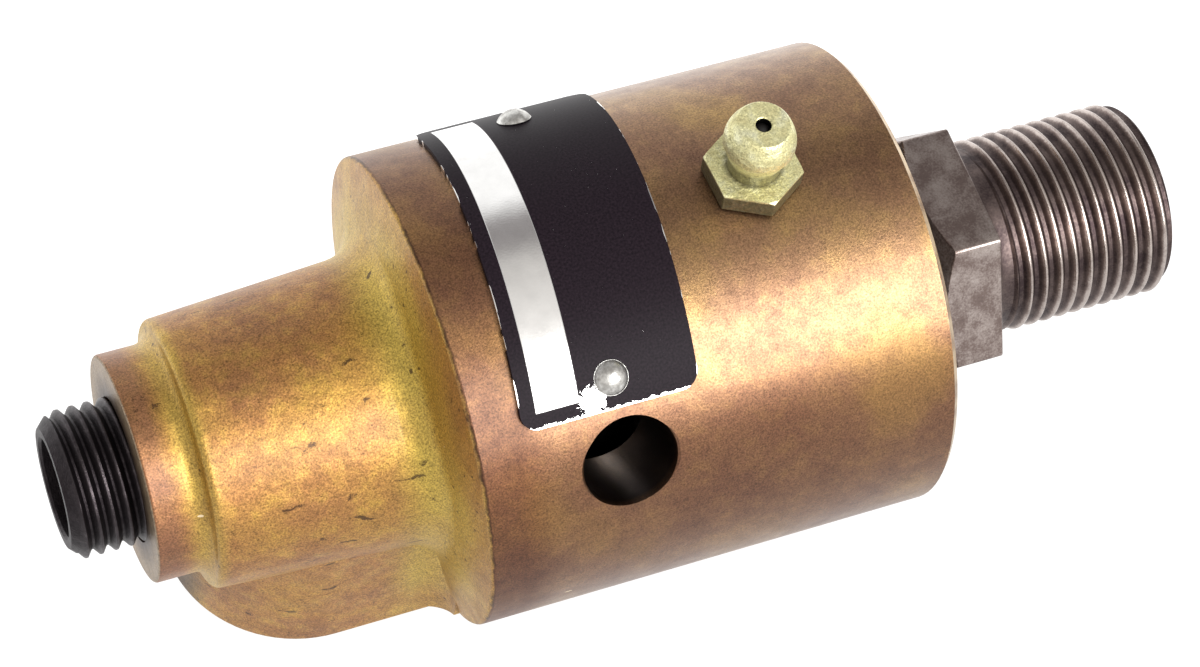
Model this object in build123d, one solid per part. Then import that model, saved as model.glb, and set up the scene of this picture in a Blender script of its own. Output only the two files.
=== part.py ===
from build123d import *
from math import cos, degrees, radians, sin, sqrt, tan
import os

# Hydraulic rotary union, in millimetres.
# X is the axis of rotation and points out of the rotor's threaded end.
# Z points up through the grease fitting, and the port pad is on the lower side.
# The origin is on the axis, at the hexagon's thread-side shoulder.


# Driving dimensions: the rotor

thread_radius = 9.525
thread_length = 16.5
thread_chamfer = 0.9
relief_length = 2.8
thread_height = 0.925
relief_cove = 1.9
hex_across_flats = 22.2
hex_length = 6.0
hex_turn = -28.2
hex_chamfer_angle = 32.0
hex_face_radius = 10.7
rotor_shoulder_radius = 9.75
rotor_bore_radius = 4.5
rotor_bore_chamfer = 0.6
spigot_radius = 6.2
spigot_short = 0.5

# Driving dimensions: the barrel and the casting

hex_to_barrel = 4.0
barrel_radius = 22.5
barrel_length = 45.5
barrel_chamfer = 0.5
mouth_chamfer = 0.6
flange_depth = 3.0
flange_round = 0.4
flange_face_angle = 12.0
flange_lean = 1.9
flange_fillet = 3.0
boss_length = 22.3
boss_radius = 12.65
boss_draft = 3.46
boss_edge_round = 0.7
disc_radius = 10.7
disc_length = 5.1
disc_slope_length = 0.25
disc_fillet = 1.3
disc_chamfer = 0.3

# Driving dimensions: the port pad

pad_face_height = 19.6
pad_half_width = 12.7
pad_overhang = 0.9
pad_edge_round = 0.5
pad_flange_fillet = 3.0
port_thread_radius = 7.7
port_thread_depth = 10.0
port_thread_chamfer = 0.6
port_passage_radius = 5.5

# Driving dimensions: the chambers of the housing

ring_lip = 0.8
seal_chamber_radius = 13.5
seal_chamber_length = 15.6
balance_bore_length = 8.0
seal_groove_radius = 10.6
seal_groove_width = 2.4
seal_groove_setback = 1.8
port_chamber_radius = 6.6
port_chamber_overlap = 2.1
vent_radius = 4.5
vent_chamfer = 0.4
vent_angle = -57.9
vent_setback = 0.2

# Driving dimensions: the bearings

bearing_bore_radius = 7.5
bearing_outer_radius = 17.5
bearing_width = 11.0
bearing_gap = 3.1
ball_radius = 2.95
ball_count = 8
race_clearance = 0.08
inner_shoulder_drop = 2.5
outer_shoulder_rise = 2.6
race_edge_round = 0.6
cage_thickness = 0.5
cage_inner_reach = 1.0
cage_outer_reach = 1.1
cage_clearance = 0.12
shield_thickness = 0.4
shield_seat_depth = 0.9
shield_seat_step = 0.7
shield_gap = 0.3

# Driving dimensions: retaining rings

ring_thickness = 1.5
ring_groove_depth = 1.1
ring_groove_play = 0.1
ring_band = 2.6
ring_gap_angle = 34.0
ring_lug_radius = 2.1
ring_lug_hole_radius = 0.9
shaft_ring_thickness = 1.0
shaft_ring_groove_depth = 0.55
shaft_ring_band = 2.0
shaft_ring_lug_radius = 1.5
shaft_ring_lug_hole_radius = 0.7

# Driving dimensions: the seal

seal_ring_radius = 10.5
seal_ring_thickness = 3.0
seal_ring_setback = 0.4
seal_film = 0.05
carbon_radius = 10.0
carbon_bore_radius = 6.6
carbon_thickness = 3.5
carbon_seat_depth = 1.5
carrier_head_play = 0.9
carrier_head_length = 3.5
carrier_stem_radius = 8.5
carrier_stem_length = 11.6
carrier_bore_radius = 4.7
key_pin_radius = 1.0
key_pin_inset = 0.4
key_pin_depth = 3.0
key_pin_clearance = 0.15
key_pin_reach = 2.6
spring_wire_radius = 0.45
spring_coil_play = 1.15
spring_turns = 3.0
o_ring_round = 0.9

# Driving dimensions: the grease fitting

fitting_setback = 1.25
fitting_hex_across_flats = 7.94
fitting_hex_height = 1.95
fitting_hex_turn = -27.0
fitting_hex_chamfer = 0.35
fitting_shank_radius = 3.15
fitting_shank_play = 0.6
fitting_lift = 0.15
fitting_neck_radius = 2.45
fitting_neck_height = 1.2
fitting_flare_height = 2.2
fitting_head_radius = 3.27
fitting_head_band = 0.5
fitting_crown_height = 2.3
fitting_crown_fullness = 0.38
fitting_top_radius = 2.4
fitting_mouth_radius = 0.7
fitting_lip = 0.8
fitting_channel_radius = 1.3
fitting_channel_length = 7.4
fitting_feed_radius = 0.8
spacer_feed_radius = 0.95
check_ball_radius = 1.05
check_ball_play = 0.02
check_spring_wire_radius = 0.14
check_spring_turns = 5.0

# Driving dimensions: the name plate

plate_thickness = 0.5
plate_to_flange = 4.8
plate_to_fitting = 9.45
plate_angle = 96.0
plate_centre_angle = 4.4
plate_skew = 3.2
plate_corner_round = 1.6
plate_screw_angle = 38.8
plate_screw_centre_angle = 2.2
plate_screw_setback = 8.0
drive_screw_head_radius = 1.6
drive_screw_head_height = 1.0
drive_screw_shank_radius = 0.95
drive_screw_shank_length = 4.0

# Driving dimensions: the pipe nipple

nipple_radius = 6.85
nipple_taper = 1.79
nipple_bore_radius = 4.62
nipple_visible = 6.6
nipple_engaged = 11.0
nipple_chamfer = 0.7

# Clearances

press_clearance = 0.01
seat_clearance = 0.02
slide_clearance = 0.05


# Stations along the axis

thread_end = relief_length + thread_length
hex_back = -hex_length
barrel_front = hex_back - hex_to_barrel
barrel_back = barrel_front - barrel_length
boss_back = barrel_back - boss_length
disc_back = boss_back - disc_length

mouth_ring_front = barrel_front - ring_lip
front_bearing_front = mouth_ring_front - ring_thickness
front_bearing_back = front_bearing_front - bearing_width
rear_bearing_front = front_bearing_back - bearing_gap
rear_bearing_back = rear_bearing_front - bearing_width

shaft_ring_back = rear_bearing_back - shaft_ring_thickness
seal_ring_front = shaft_ring_back - seal_ring_setback
seal_ring_back = seal_ring_front - seal_ring_thickness
carbon_front = seal_ring_back - seal_film
carbon_back = carbon_front - carbon_thickness
carrier_front = carbon_back + carbon_seat_depth
carrier_shoulder = carrier_front - carrier_head_length
carrier_back = carrier_shoulder - carrier_stem_length

chamber_back = rear_bearing_back - seal_chamber_length
balance_bore_back = chamber_back - balance_bore_length
balance_bore_radius = carrier_stem_radius + slide_clearance
port_chamber_back = disc_back + nipple_engaged - port_chamber_overlap

fitting_station = front_bearing_back - fitting_setback
vent_station = rear_bearing_back - vent_setback - vent_radius
plate_front = fitting_station - plate_to_fitting
plate_back = barrel_back + plate_to_flange
plate_station = (plate_front + plate_back) / 2
plate_width = plate_front - plate_back
pad_centre = boss_back - pad_overhang + pad_half_width

# Radii that follow from the driving dimensions

relief_radius = thread_radius - thread_height
plate_radius = barrel_radius + seat_clearance
pitch_radius = (bearing_bore_radius + bearing_outer_radius) / 2
race_radius = ball_radius + race_clearance
inner_shoulder_radius = pitch_radius - inner_shoulder_drop
outer_shoulder_radius = pitch_radius + outer_shoulder_rise
cage_inner_radius = pitch_radius - cage_inner_reach
cage_outer_radius = pitch_radius + cage_outer_reach
carrier_head_radius = seal_chamber_radius - carrier_head_play
key_pin_circle = carrier_head_radius - key_pin_inset
spring_coil_radius = carrier_stem_radius + spring_coil_play + spring_wire_radius
fitting_shank_length = barrel_radius - bearing_outer_radius - fitting_shank_play

# The flange's rear cone, and where it meets the bottom of the pad

flange_slope = tan(radians(flange_face_angle))
flange_lean_slope = tan(radians(flange_lean))
pad_front = barrel_back + pad_face_height * flange_lean_slope - (barrel_radius - pad_face_height) * flange_slope


# Helpers

def turned(points):
    """Revolves a closed outline of (station, radius[, corner radius]) about the axis."""
    outline = make_face(Polyline(*[point[:2] for point in points], close=True))
    for point in points:
        if len(point) == 3:
            corner = outline.vertices().sort_by_distance(Vector(point[0], point[1], 0))[0]
            outline = fillet(corner, point[2])
    return revolve(outline, Axis.X)


def rod(start, end, radius):
    """A solid round bar along the axis between two stations."""
    middle = (start + end) / 2
    return Pos(middle, 0, 0) * Rot(0, 90, 0) * Cylinder(radius, abs(end - start))


def tube(start, end, inner, outer):
    """A plain ring along the axis between two stations."""
    return rod(start, end, outer) - rod(start - 1, end + 1, inner)


def around_axis(angle, shape):
    """Turns a shape made on the +Z side by an angle towards +Y."""
    return Rot(-angle, 0, 0) * shape


def upright(radius, low, high, station=0.0):
    """A solid round bar along Z between two heights."""
    return Pos(station, 0, (low + high) / 2) * Cylinder(radius, high - low)


def hexagon(across_flats, height):
    """A hexagonal bar along Z with its base at zero."""
    return extrude(RegularPolygon(across_flats / 2, 6, major_radius=False), height)


# The rotor

def make_rotor():
    """Shaft, hexagon and threaded nose in one piece, with a bore right through."""
    hex_corner = hex_across_flats / sqrt(3)
    blank = Rot(hex_turn, 0, 0) * Rot(0, -90, 0) * hexagon(hex_across_flats, hex_length)
    chamfer_run = (hex_corner - hex_face_radius) * tan(radians(hex_chamfer_angle))
    turned_form = turned([
        (hex_back, 0),
        (hex_back, hex_face_radius),
        (hex_back + chamfer_run, hex_corner),
        (0, hex_corner),
        (0, 0),
    ])
    shape = blank & turned_form
    shape += turned([
        (hex_back / 2, 0),
        (hex_back / 2, relief_radius),
        (0, relief_radius + relief_cove),
        (relief_cove, relief_radius, relief_cove),
        (relief_length, relief_radius),
        (relief_length + thread_radius - relief_radius, thread_radius),
        (thread_end - thread_chamfer, thread_radius),
        (thread_end, thread_radius - thread_chamfer),
        (thread_end, 0),
    ])
    shape += rod(front_bearing_front, hex_back / 2, rotor_shoulder_radius)
    shape += rod(seal_ring_front, front_bearing_front, bearing_bore_radius - press_clearance)
    shape += rod(seal_ring_back + spigot_short, seal_ring_front, spigot_radius)
    shape -= tube(
        shaft_ring_back - ring_groove_play,
        rear_bearing_back,
        bearing_bore_radius - shaft_ring_groove_depth,
        bearing_bore_radius + 1,
    )
    bore_end = thread_end + rotor_bore_chamfer
    shape -= turned([
        (seal_ring_back, 0),
        (seal_ring_back, rotor_bore_radius),
        (thread_end - rotor_bore_chamfer, rotor_bore_radius),
        (bore_end, rotor_bore_radius + 2 * rotor_bore_chamfer),
        (bore_end, 0),
    ])
    return shape


# The housing

def cast_boss():
    """Rear boss and small disc boss, turned as one outline."""
    boss_root = boss_radius + boss_length * tan(radians(boss_draft))
    return turned([
        (barrel_back, 0),
        (barrel_back, boss_root),
        (boss_back, boss_radius, boss_edge_round),
        (boss_back - disc_slope_length, disc_radius, disc_fillet),
        (disc_back, disc_radius, disc_chamfer),
        (disc_back, 0),
    ])


def cast_flange():
    """End of the barrel that is left as cast: a flat cone that leans a little on the turned axis."""
    blank_radius = barrel_radius + flange_depth
    cone = turned([
        (flange_depth, 0),
        (flange_depth, blank_radius),
        (flange_depth * flange_slope, blank_radius),
        (-barrel_radius * flange_slope, 0),
    ])
    cone = Pos(barrel_back, 0, 0) * Rot(0, -flange_lean, 0) * cone
    flange = cone & rod(boss_back, barrel_back + flange_depth / 2, barrel_radius)
    rim = flange.edges().filter_by(GeomType.CIRCLE, reverse=True)
    return fillet(rim, flange_round)


def cast_body():
    """Flange, boss and disc boss, blended together by the casting's root fillet."""
    boss_root = boss_radius + boss_length * tan(radians(boss_draft))
    flange = cast_flange()
    shape = flange + cast_boss()
    root = []
    for edge in shape.edges():
        spot = edge @ 0.5
        if spot.X < barrel_back and abs(sqrt(spot.Y**2 + spot.Z**2) - boss_root) < flange_depth / 2:
            root.append(edge)
    return fillet(root, flange_fillet)


def port_pad():
    """U-shaped pad under the rear boss, a little proud of its end face, that runs into the flange."""
    length = pad_front - pad_centre
    outline = Pos(pad_centre, 0) * Circle(pad_half_width)
    outline += Pos(pad_centre + length / 2, 0) * Rectangle(length, 2 * pad_half_width)
    pad = Pos(0, 0, -pad_face_height) * extrude(outline, pad_face_height)
    rim = pad.faces().sort_by(Axis.Z)[0].edges().filter_by(lambda edge: edge.center().X < pad_front - 0.1)
    return fillet(rim, pad_edge_round) + pad_flare()


def pad_flare():
    """Hollow corners that spread the pad's sides into the rear face of the flange."""
    flare = pad_flange_fillet
    inside = barrel_back + flange_depth / 2
    outline = Pos((pad_front + inside) / 2, 0) * Rectangle(inside - pad_front, 2 * (pad_half_width + flare))
    for side in (1, -1):
        corner = Pos(pad_front - flare / 2, side * (pad_half_width + flare / 2)) * Rectangle(flare, flare)
        outline += corner - Pos(pad_front - flare, side * (pad_half_width + flare)) * Circle(flare)
    flare_body = Pos(0, 0, -pad_face_height) * extrude(outline, pad_face_height)
    return flare_body & rod(boss_back, inside, barrel_radius)


def make_housing():
    """The bronze casting with its turned barrel, chambers, ports and cross holes."""
    barrel = turned([
        (barrel_back + flange_depth / 2, 0),
        (barrel_back + flange_depth / 2, barrel_radius),
        (barrel_front - barrel_chamfer, barrel_radius),
        (barrel_front, barrel_radius - barrel_chamfer),
        (barrel_front, 0),
    ])
    shape = cast_body() + port_pad()
    shape += barrel
    shape -= turned([
        (rear_bearing_back, 0),
        (rear_bearing_back, bearing_outer_radius),
        (barrel_front - mouth_chamfer, bearing_outer_radius),
        (barrel_front + mouth_chamfer, bearing_outer_radius + 2 * mouth_chamfer),
        (barrel_front + mouth_chamfer, 0),
    ])
    shape -= tube(
        front_bearing_front,
        mouth_ring_front + ring_groove_play,
        bearing_outer_radius - 1,
        bearing_outer_radius + ring_groove_depth,
    )
    shape -= rod(chamber_back, rear_bearing_back, seal_chamber_radius)
    shape -= rod(balance_bore_back, chamber_back, balance_bore_radius)
    shape -= rod(port_chamber_back, balance_bore_back, port_chamber_radius)
    groove_front = chamber_back - seal_groove_setback
    shape -= tube(groove_front - seal_groove_width, groove_front, balance_bore_radius - 1, seal_groove_radius)
    shape -= nipple_hole()
    pad_bottom = -pad_face_height
    shape -= upright(port_thread_radius, pad_bottom - 1, pad_bottom + port_thread_depth, pad_centre)
    shape -= upright(port_passage_radius, pad_bottom, 0, pad_centre)
    shape -= Pos(pad_centre, 0, pad_bottom) * Cone(
        port_thread_radius + 2 * port_thread_chamfer, port_thread_radius, 2 * port_thread_chamfer
    )
    shape -= upright(
        fitting_shank_radius + seat_clearance, bearing_outer_radius - 1, barrel_radius + 1, fitting_station
    )
    vent = upright(vent_radius, seal_chamber_radius - 2, barrel_radius + 1, vent_station)
    vent += Pos(vent_station, 0, barrel_radius) * Cone(
        vent_radius - vent_chamfer, vent_radius + 2 * vent_chamfer, 3 * vent_chamfer
    )
    shape -= around_axis(vent_angle, vent)
    for angle, station in plate_screw_places():
        hole = upright(
            drive_screw_shank_radius + press_clearance,
            barrel_radius - drive_screw_shank_length,
            barrel_radius + 1,
            station,
        )
        shape -= around_axis(angle, hole)
    for side in (90, -90):
        hole = Pos(0, 0, key_pin_circle) * rod(chamber_back - key_pin_depth, chamber_back, key_pin_radius)
        shape -= around_axis(side, hole)
    return shape


# The pipe nipple

nipple_end = disc_back + nipple_engaged
nipple_end_radius = nipple_radius - nipple_engaged * tan(radians(nipple_taper))


def nipple_hole():
    """Tapered hole in the disc boss that the nipple screws into."""
    return turned([
        (nipple_end + seat_clearance, 0),
        (nipple_end + seat_clearance, nipple_end_radius + seat_clearance),
        (disc_back, nipple_radius + seat_clearance),
        (disc_back, 0),
    ])


def make_pipe_nipple():
    """Black steel nipple with a tapered thread at both ends, drawn plain."""
    outer = disc_back - nipple_visible
    shape = turned([
        (nipple_end, 0),
        (nipple_end, nipple_end_radius),
        (disc_back, nipple_radius),
        (outer + nipple_chamfer, nipple_radius),
        (outer, nipple_radius - nipple_chamfer),
        (outer, 0),
    ])
    return shape - rod(outer - 1, nipple_end + 1, nipple_bore_radius)


# The bearings

def race_groove():
    """The round track that the balls run in, shared by both rings."""
    outline = Pos(0, pitch_radius) * Circle(race_radius)
    return revolve(outline, Axis.X, 360)


def make_inner_ring():
    """Inner ring of a bearing, centred on the origin."""
    half = bearing_width / 2
    ring = turned([
        (-half, bearing_bore_radius, race_edge_round),
        (-half, inner_shoulder_radius),
        (half, inner_shoulder_radius),
        (half, bearing_bore_radius, race_edge_round),
    ])
    return ring - race_groove()


def make_outer_ring(shield_side):
    """Outer ring of a bearing, with a seat for the shield on one side."""
    half = bearing_width / 2
    outer = bearing_outer_radius - press_clearance
    ring = turned([
        (-half, outer_shoulder_radius),
        (-half, outer, race_edge_round),
        (half, outer, race_edge_round),
        (half, outer_shoulder_radius),
    ])
    seat = tube(
        half - shield_seat_depth, half + 1, outer_shoulder_radius - 1, outer_shoulder_radius + shield_seat_step
    )
    return ring - race_groove() - mirror_to(seat, shield_side)


def mirror_to(shape, side):
    """Leaves a shape on the +X side, or mirrors it to the -X side."""
    return shape if side > 0 else mirror(shape, Plane.YZ)


def make_shield(shield_side):
    """Pressed sheet-steel shield, held in the outer ring and clear of the inner ring."""
    outer_face = bearing_width / 2 - (shield_seat_depth - shield_thickness) / 2
    rim = outer_shoulder_radius + shield_seat_step - press_clearance
    dish = tube(outer_face - shield_thickness, outer_face, inner_shoulder_radius + shield_gap, rim)
    return mirror_to(dish, shield_side)


def ball_places():
    """Angles of the balls round a bearing."""
    return [360 / ball_count * index for index in range(ball_count)]


def make_balls():
    """One full set of balls."""
    return [around_axis(angle, Pos(0, 0, pitch_radius) * Sphere(ball_radius)) for angle in ball_places()]


def make_cage_half(side):
    """Half of a pressed ribbon cage: flat between the balls and dished round each of them."""
    pocket = ball_radius + cage_clearance
    ribbon = tube(0, cage_thickness, cage_inner_radius, cage_outer_radius)
    band = tube(0, pocket + cage_thickness, cage_inner_radius, cage_outer_radius)
    for angle in ball_places():
        ball_spot = Pos(0, 0, pitch_radius)
        ribbon += band & around_axis(angle, ball_spot * Sphere(pocket + cage_thickness))
    for angle in ball_places():
        ribbon -= around_axis(angle, Pos(0, 0, pitch_radius) * Sphere(pocket))
    return mirror_to(ribbon, side)


def make_outer_spacer():
    """Spacer between the outer rings, with a grease groove and feed hole."""
    outer = bearing_outer_radius - press_clearance
    spacer = tube(rear_bearing_front, front_bearing_back, outer_shoulder_radius, outer)
    return spacer - upright(spacer_feed_radius, 0, barrel_radius, fitting_station)


def make_inner_spacer():
    """Sleeve between the inner rings."""
    return tube(rear_bearing_front, front_bearing_back, bearing_bore_radius, inner_shoulder_radius - race_edge_round)


# Retaining rings

def open_ring(start, thickness, inner, outer, lug_radius, lug_hole, lug_circle):
    """A sprung ring with a gap on the underside and a drilled lug at each end."""
    half_gap = ring_gap_angle / 2
    outline = Circle(outer) - Circle(inner)
    wedge = Polygon((0, 0), (-outer * 2 * tan(radians(half_gap)), -outer * 2),
                    (outer * 2 * tan(radians(half_gap)), -outer * 2), align=None)
    outline -= wedge
    lug_turn = half_gap + degrees(lug_radius / lug_circle) * 0.9
    for side in (-1, 1):
        spot = Pos(side * lug_circle * sin(radians(lug_turn)), -lug_circle * cos(radians(lug_turn)))
        outline += spot * Circle(lug_radius)
        outline -= spot * Circle(lug_hole)
    flat = extrude(outline, thickness)
    return Pos(start, 0, 0) * Rot(0, 90, 0) * Rot(0, 0, 90) * flat


def make_housing_ring():
    """Internal retaining ring in the mouth of the barrel."""
    outer = bearing_outer_radius + ring_groove_depth - slide_clearance
    inner = outer - ring_band
    return open_ring(
        front_bearing_front, ring_thickness, inner, outer, ring_lug_radius, ring_lug_hole_radius,
        inner - ring_lug_radius / 2,
    )


def make_shaft_ring():
    """External retaining ring behind the rear bearing."""
    inner = bearing_bore_radius - shaft_ring_groove_depth + slide_clearance
    outer = inner + shaft_ring_band
    return open_ring(
        shaft_ring_back, shaft_ring_thickness, inner, outer, shaft_ring_lug_radius,
        shaft_ring_lug_hole_radius, outer + shaft_ring_lug_radius / 3,
    )


# The face seal

def make_seal_ring():
    """Hard ring pressed on the spigot of the rotor."""
    return tube(seal_ring_back, seal_ring_front, spigot_radius + press_clearance, seal_ring_radius)


def make_carbon_ring():
    """Stationary carbon face, set in the head of the carrier."""
    ring = turned([
        (carbon_back, carbon_bore_radius),
        (carbon_back, carbon_radius),
        (carrier_front + seat_clearance, carbon_radius),
        (carbon_front, carbon_radius - carbon_seat_depth),
        (carbon_front, carbon_bore_radius),
    ])
    return ring


def make_carrier():
    """Floating sleeve: a head for the carbon ring and a stem that slides in the balance bore."""
    shape = rod(carrier_shoulder, carrier_front, carrier_head_radius)
    shape += rod(carrier_back, carrier_shoulder, carrier_stem_radius)
    shape -= rod(carbon_back, carrier_front + 1, carbon_radius + press_clearance)
    shape -= rod(carrier_back - 1, carrier_front, carrier_bore_radius)
    notch_radius = key_pin_radius + key_pin_clearance
    for side in (90, -90):
        notch = Pos(0, 0, key_pin_circle) * rod(carrier_shoulder - 1, carrier_front + 1, notch_radius)
        shape -= around_axis(side, notch)
    return shape


def make_key_pins():
    """Two pins in the chamber floor that stop the carrier turning."""
    start = chamber_back - key_pin_depth
    end = carrier_shoulder + key_pin_reach
    pin = Pos(0, 0, key_pin_circle) * rod(start, end, key_pin_radius - press_clearance)
    return [around_axis(side, pin) for side in (90, -90)]


def coil(start, end, coil_radius, wire_radius, turns):
    """A coil spring along +Z from start to end, over its whole wire."""
    rise = end - start - 2 * wire_radius
    path = Helix(rise / turns, rise, coil_radius)
    section = Plane(origin=path @ 0, z_dir=path % 0) * Circle(wire_radius)
    return Pos(0, 0, start + wire_radius) * sweep(section, path)


def make_seal_spring():
    """Coil spring between the chamber floor and the head of the carrier."""
    low = chamber_back + seat_clearance
    high = carrier_shoulder - seat_clearance
    return Rot(0, 90, 0) * coil(low, high, spring_coil_radius, spring_wire_radius, spring_turns)


def make_seal_o_ring():
    """O-ring in the balance bore's groove, squeezed against the stem."""
    front = chamber_back - seal_groove_setback - slide_clearance
    back = front - seal_groove_width + 2 * slide_clearance
    inner = carrier_stem_radius + seat_clearance
    outer = seal_groove_radius - seat_clearance
    return turned([
        (back, inner, o_ring_round),
        (back, outer, o_ring_round),
        (front, outer, o_ring_round),
        (front, inner, o_ring_round),
    ])


# The grease fitting, made along Z at its own station

fitting_base = barrel_radius + fitting_lift
fitting_hex_top = fitting_base + fitting_hex_height
fitting_neck_top = fitting_hex_top + fitting_neck_height
fitting_flare_top = fitting_neck_top + fitting_flare_height
fitting_top = fitting_flare_top + fitting_head_band + fitting_crown_height
channel_top = fitting_top - fitting_lip
channel_bottom = channel_top - fitting_channel_length
ball_rest = channel_top - sqrt(check_ball_radius**2 - fitting_mouth_radius**2) - check_ball_play


def make_grease_fitting():
    """Shank, hexagon, neck and button head, drilled right through."""
    hex_corner = fitting_hex_across_flats / sqrt(3)
    hex_blank = Rot(0, 0, fitting_hex_turn) * hexagon(fitting_hex_across_flats, fitting_hex_height)
    hex_blank = Pos(0, 0, fitting_base) * hex_blank
    hex_limit = revolve(make_face(Polyline(
        (0, 0, fitting_base),
        (hex_corner, 0, fitting_base),
        (hex_corner, 0, fitting_hex_top - fitting_hex_chamfer),
        (hex_corner - 2 * fitting_hex_chamfer, 0, fitting_hex_top),
        (0, 0, fitting_hex_top),
        close=True,
    )), Axis.Z, 360)
    band_top = fitting_flare_top + fitting_head_band
    crown = Bezier(
        (fitting_head_radius, 0, band_top),
        (fitting_head_radius, 0, band_top + fitting_crown_height * fitting_crown_fullness),
        (fitting_top_radius, 0, fitting_top),
    )
    edges = crown.edges()
    edges += Polyline(
        (fitting_top_radius, 0, fitting_top),
        (0, 0, fitting_top),
        (0, 0, fitting_hex_top - 1),
        (fitting_neck_radius, 0, fitting_hex_top - 1),
        (fitting_neck_radius, 0, fitting_neck_top),
        (fitting_head_radius, 0, fitting_flare_top),
        (fitting_head_radius, 0, band_top),
    ).edges()
    head = revolve(make_face(edges), Axis.Z, 360)
    shank_end = fitting_base - fitting_shank_length - fitting_lift
    shape = hex_blank & hex_limit
    shape += head
    shape += upright(fitting_shank_radius, shank_end, fitting_base + 1)
    shape -= upright(fitting_mouth_radius, channel_top - 1, fitting_top + 1)
    shape -= upright(fitting_channel_radius, channel_bottom, channel_top)
    shape -= upright(fitting_feed_radius, shank_end - 1, channel_bottom + 1)
    return Pos(fitting_station, 0, 0) * shape


def make_check_ball():
    """Ball that closes the mouth of the grease fitting."""
    return Pos(fitting_station, 0, ball_rest) * Sphere(check_ball_radius)


def make_check_spring():
    """Light spring that holds the check ball up."""
    low = channel_bottom + seat_clearance
    high = ball_rest - check_ball_radius - seat_clearance
    radius = fitting_channel_radius - 3 * check_spring_wire_radius
    return Pos(fitting_station, 0, 0) * coil(low, high, radius, check_spring_wire_radius, check_spring_turns)


# The name plate

def plate_screw_places():
    """Angle and station of each drive screw, along a line as slightly skewed as the plate."""
    places = []
    for side in (1, -1):
        angle = side * plate_screw_angle
        sideways = barrel_radius * sin(radians(angle))
        station = plate_front - plate_screw_setback + sideways * tan(radians(plate_skew))
        places.append((plate_screw_centre_angle + angle, station))
    return places


def make_name_plate():
    """Thin curved plate that follows the barrel, set on a little askew."""
    outer = plate_radius + plate_thickness
    reach = barrel_radius
    strip = tube(plate_station - reach, plate_station + reach, plate_radius, outer)
    half = radians(plate_angle / 2)
    wedge = extrude(Plane.YZ * Polygon(
        (0, 0), (-2 * outer * sin(half), 2 * outer * cos(half)), (0, 4 * outer),
        (2 * outer * sin(half), 2 * outer * cos(half)), align=None,
    ), reach, both=True)
    strip &= Pos(plate_station, 0, 0) * wedge
    slab = Rot(0, 0, -plate_skew) * Box(plate_width, 4 * outer, 4 * outer)
    strip &= Pos(plate_station, 0, 0) * slab
    corners = [edge for edge in strip.edges() if edge.length < 2 * plate_thickness]
    strip = fillet(corners, plate_corner_round)
    strip = around_axis(plate_centre_angle, strip)
    for angle, station in plate_screw_places():
        hole = upright(drive_screw_shank_radius + seat_clearance, 0, 2 * outer, station)
        strip -= around_axis(angle, hole)
    return strip


def make_plate_screws():
    """Two round-head drive screws."""
    seat = plate_radius + plate_thickness + seat_clearance
    dome_radius = (drive_screw_head_radius**2 + drive_screw_head_height**2) / (2 * drive_screw_head_height)
    screws = []
    for angle, station in plate_screw_places():
        dome = Pos(0, 0, seat + drive_screw_head_height - dome_radius) * Sphere(dome_radius)
        dome &= upright(drive_screw_head_radius, seat, seat + 2 * drive_screw_head_height)
        shank = upright(drive_screw_shank_radius, barrel_radius - drive_screw_shank_length + press_clearance, seat + 0.1)
        screws.append(around_axis(angle, Pos(station, 0, 0) * (dome + shank)))
    return screws


# All the pieces, by name

front_bearing_middle = Pos((front_bearing_front + front_bearing_back) / 2, 0, 0)
rear_bearing_middle = Pos((rear_bearing_front + rear_bearing_back) / 2, 0, 0)

pieces = {
    "housing": make_housing(),
    "rotor": make_rotor(),
    "pipe_nipple": make_pipe_nipple(),
    "outer_bearing_spacer": make_outer_spacer(),
    "inner_bearing_spacer": make_inner_spacer(),
    "housing_retaining_ring": make_housing_ring(),
    "rotor_retaining_ring": make_shaft_ring(),
    "rotor_seal_ring": make_seal_ring(),
    "carbon_seal_ring": make_carbon_ring(),
    "seal_carrier": make_carrier(),
    "anti_rotation_pins": make_key_pins(),
    "seal_spring": make_seal_spring(),
    "seal_o_ring": make_seal_o_ring(),
    "grease_fitting_body": make_grease_fitting(),
    "grease_fitting_ball": make_check_ball(),
    "grease_fitting_spring": make_check_spring(),
    "name_plate": make_name_plate(),
    "name_plate_screws": make_plate_screws(),
}

for name, middle, shield_side in (
    ("front_bearing", front_bearing_middle, 1),
    ("rear_bearing", rear_bearing_middle, -1),
):
    pieces[name + "_outer_ring"] = middle * make_outer_ring(shield_side)
    pieces[name + "_inner_ring"] = middle * make_inner_ring()
    pieces[name + "_shield"] = middle * make_shield(shield_side)
    pieces[name + "_balls"] = [middle * ball for ball in make_balls()]
    pieces[name + "_cage_front"] = middle * make_cage_half(1)
    pieces[name + "_cage_rear"] = middle * make_cage_half(-1)

os.makedirs("parts", exist_ok=True)
for name, shape in pieces.items():
    if isinstance(shape, list):
        shape = Compound(children=shape)
    export_step(shape, f"parts/{name}.step")
print(len(pieces), "pieces")
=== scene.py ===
"""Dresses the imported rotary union: threads, fittings and plate, finishes, studio, camera and light."""
import logging
import math
from dataclasses import dataclass
from enum import Enum

import bmesh
import bpy
import numpy
from mathutils import Matrix, Vector


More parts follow.
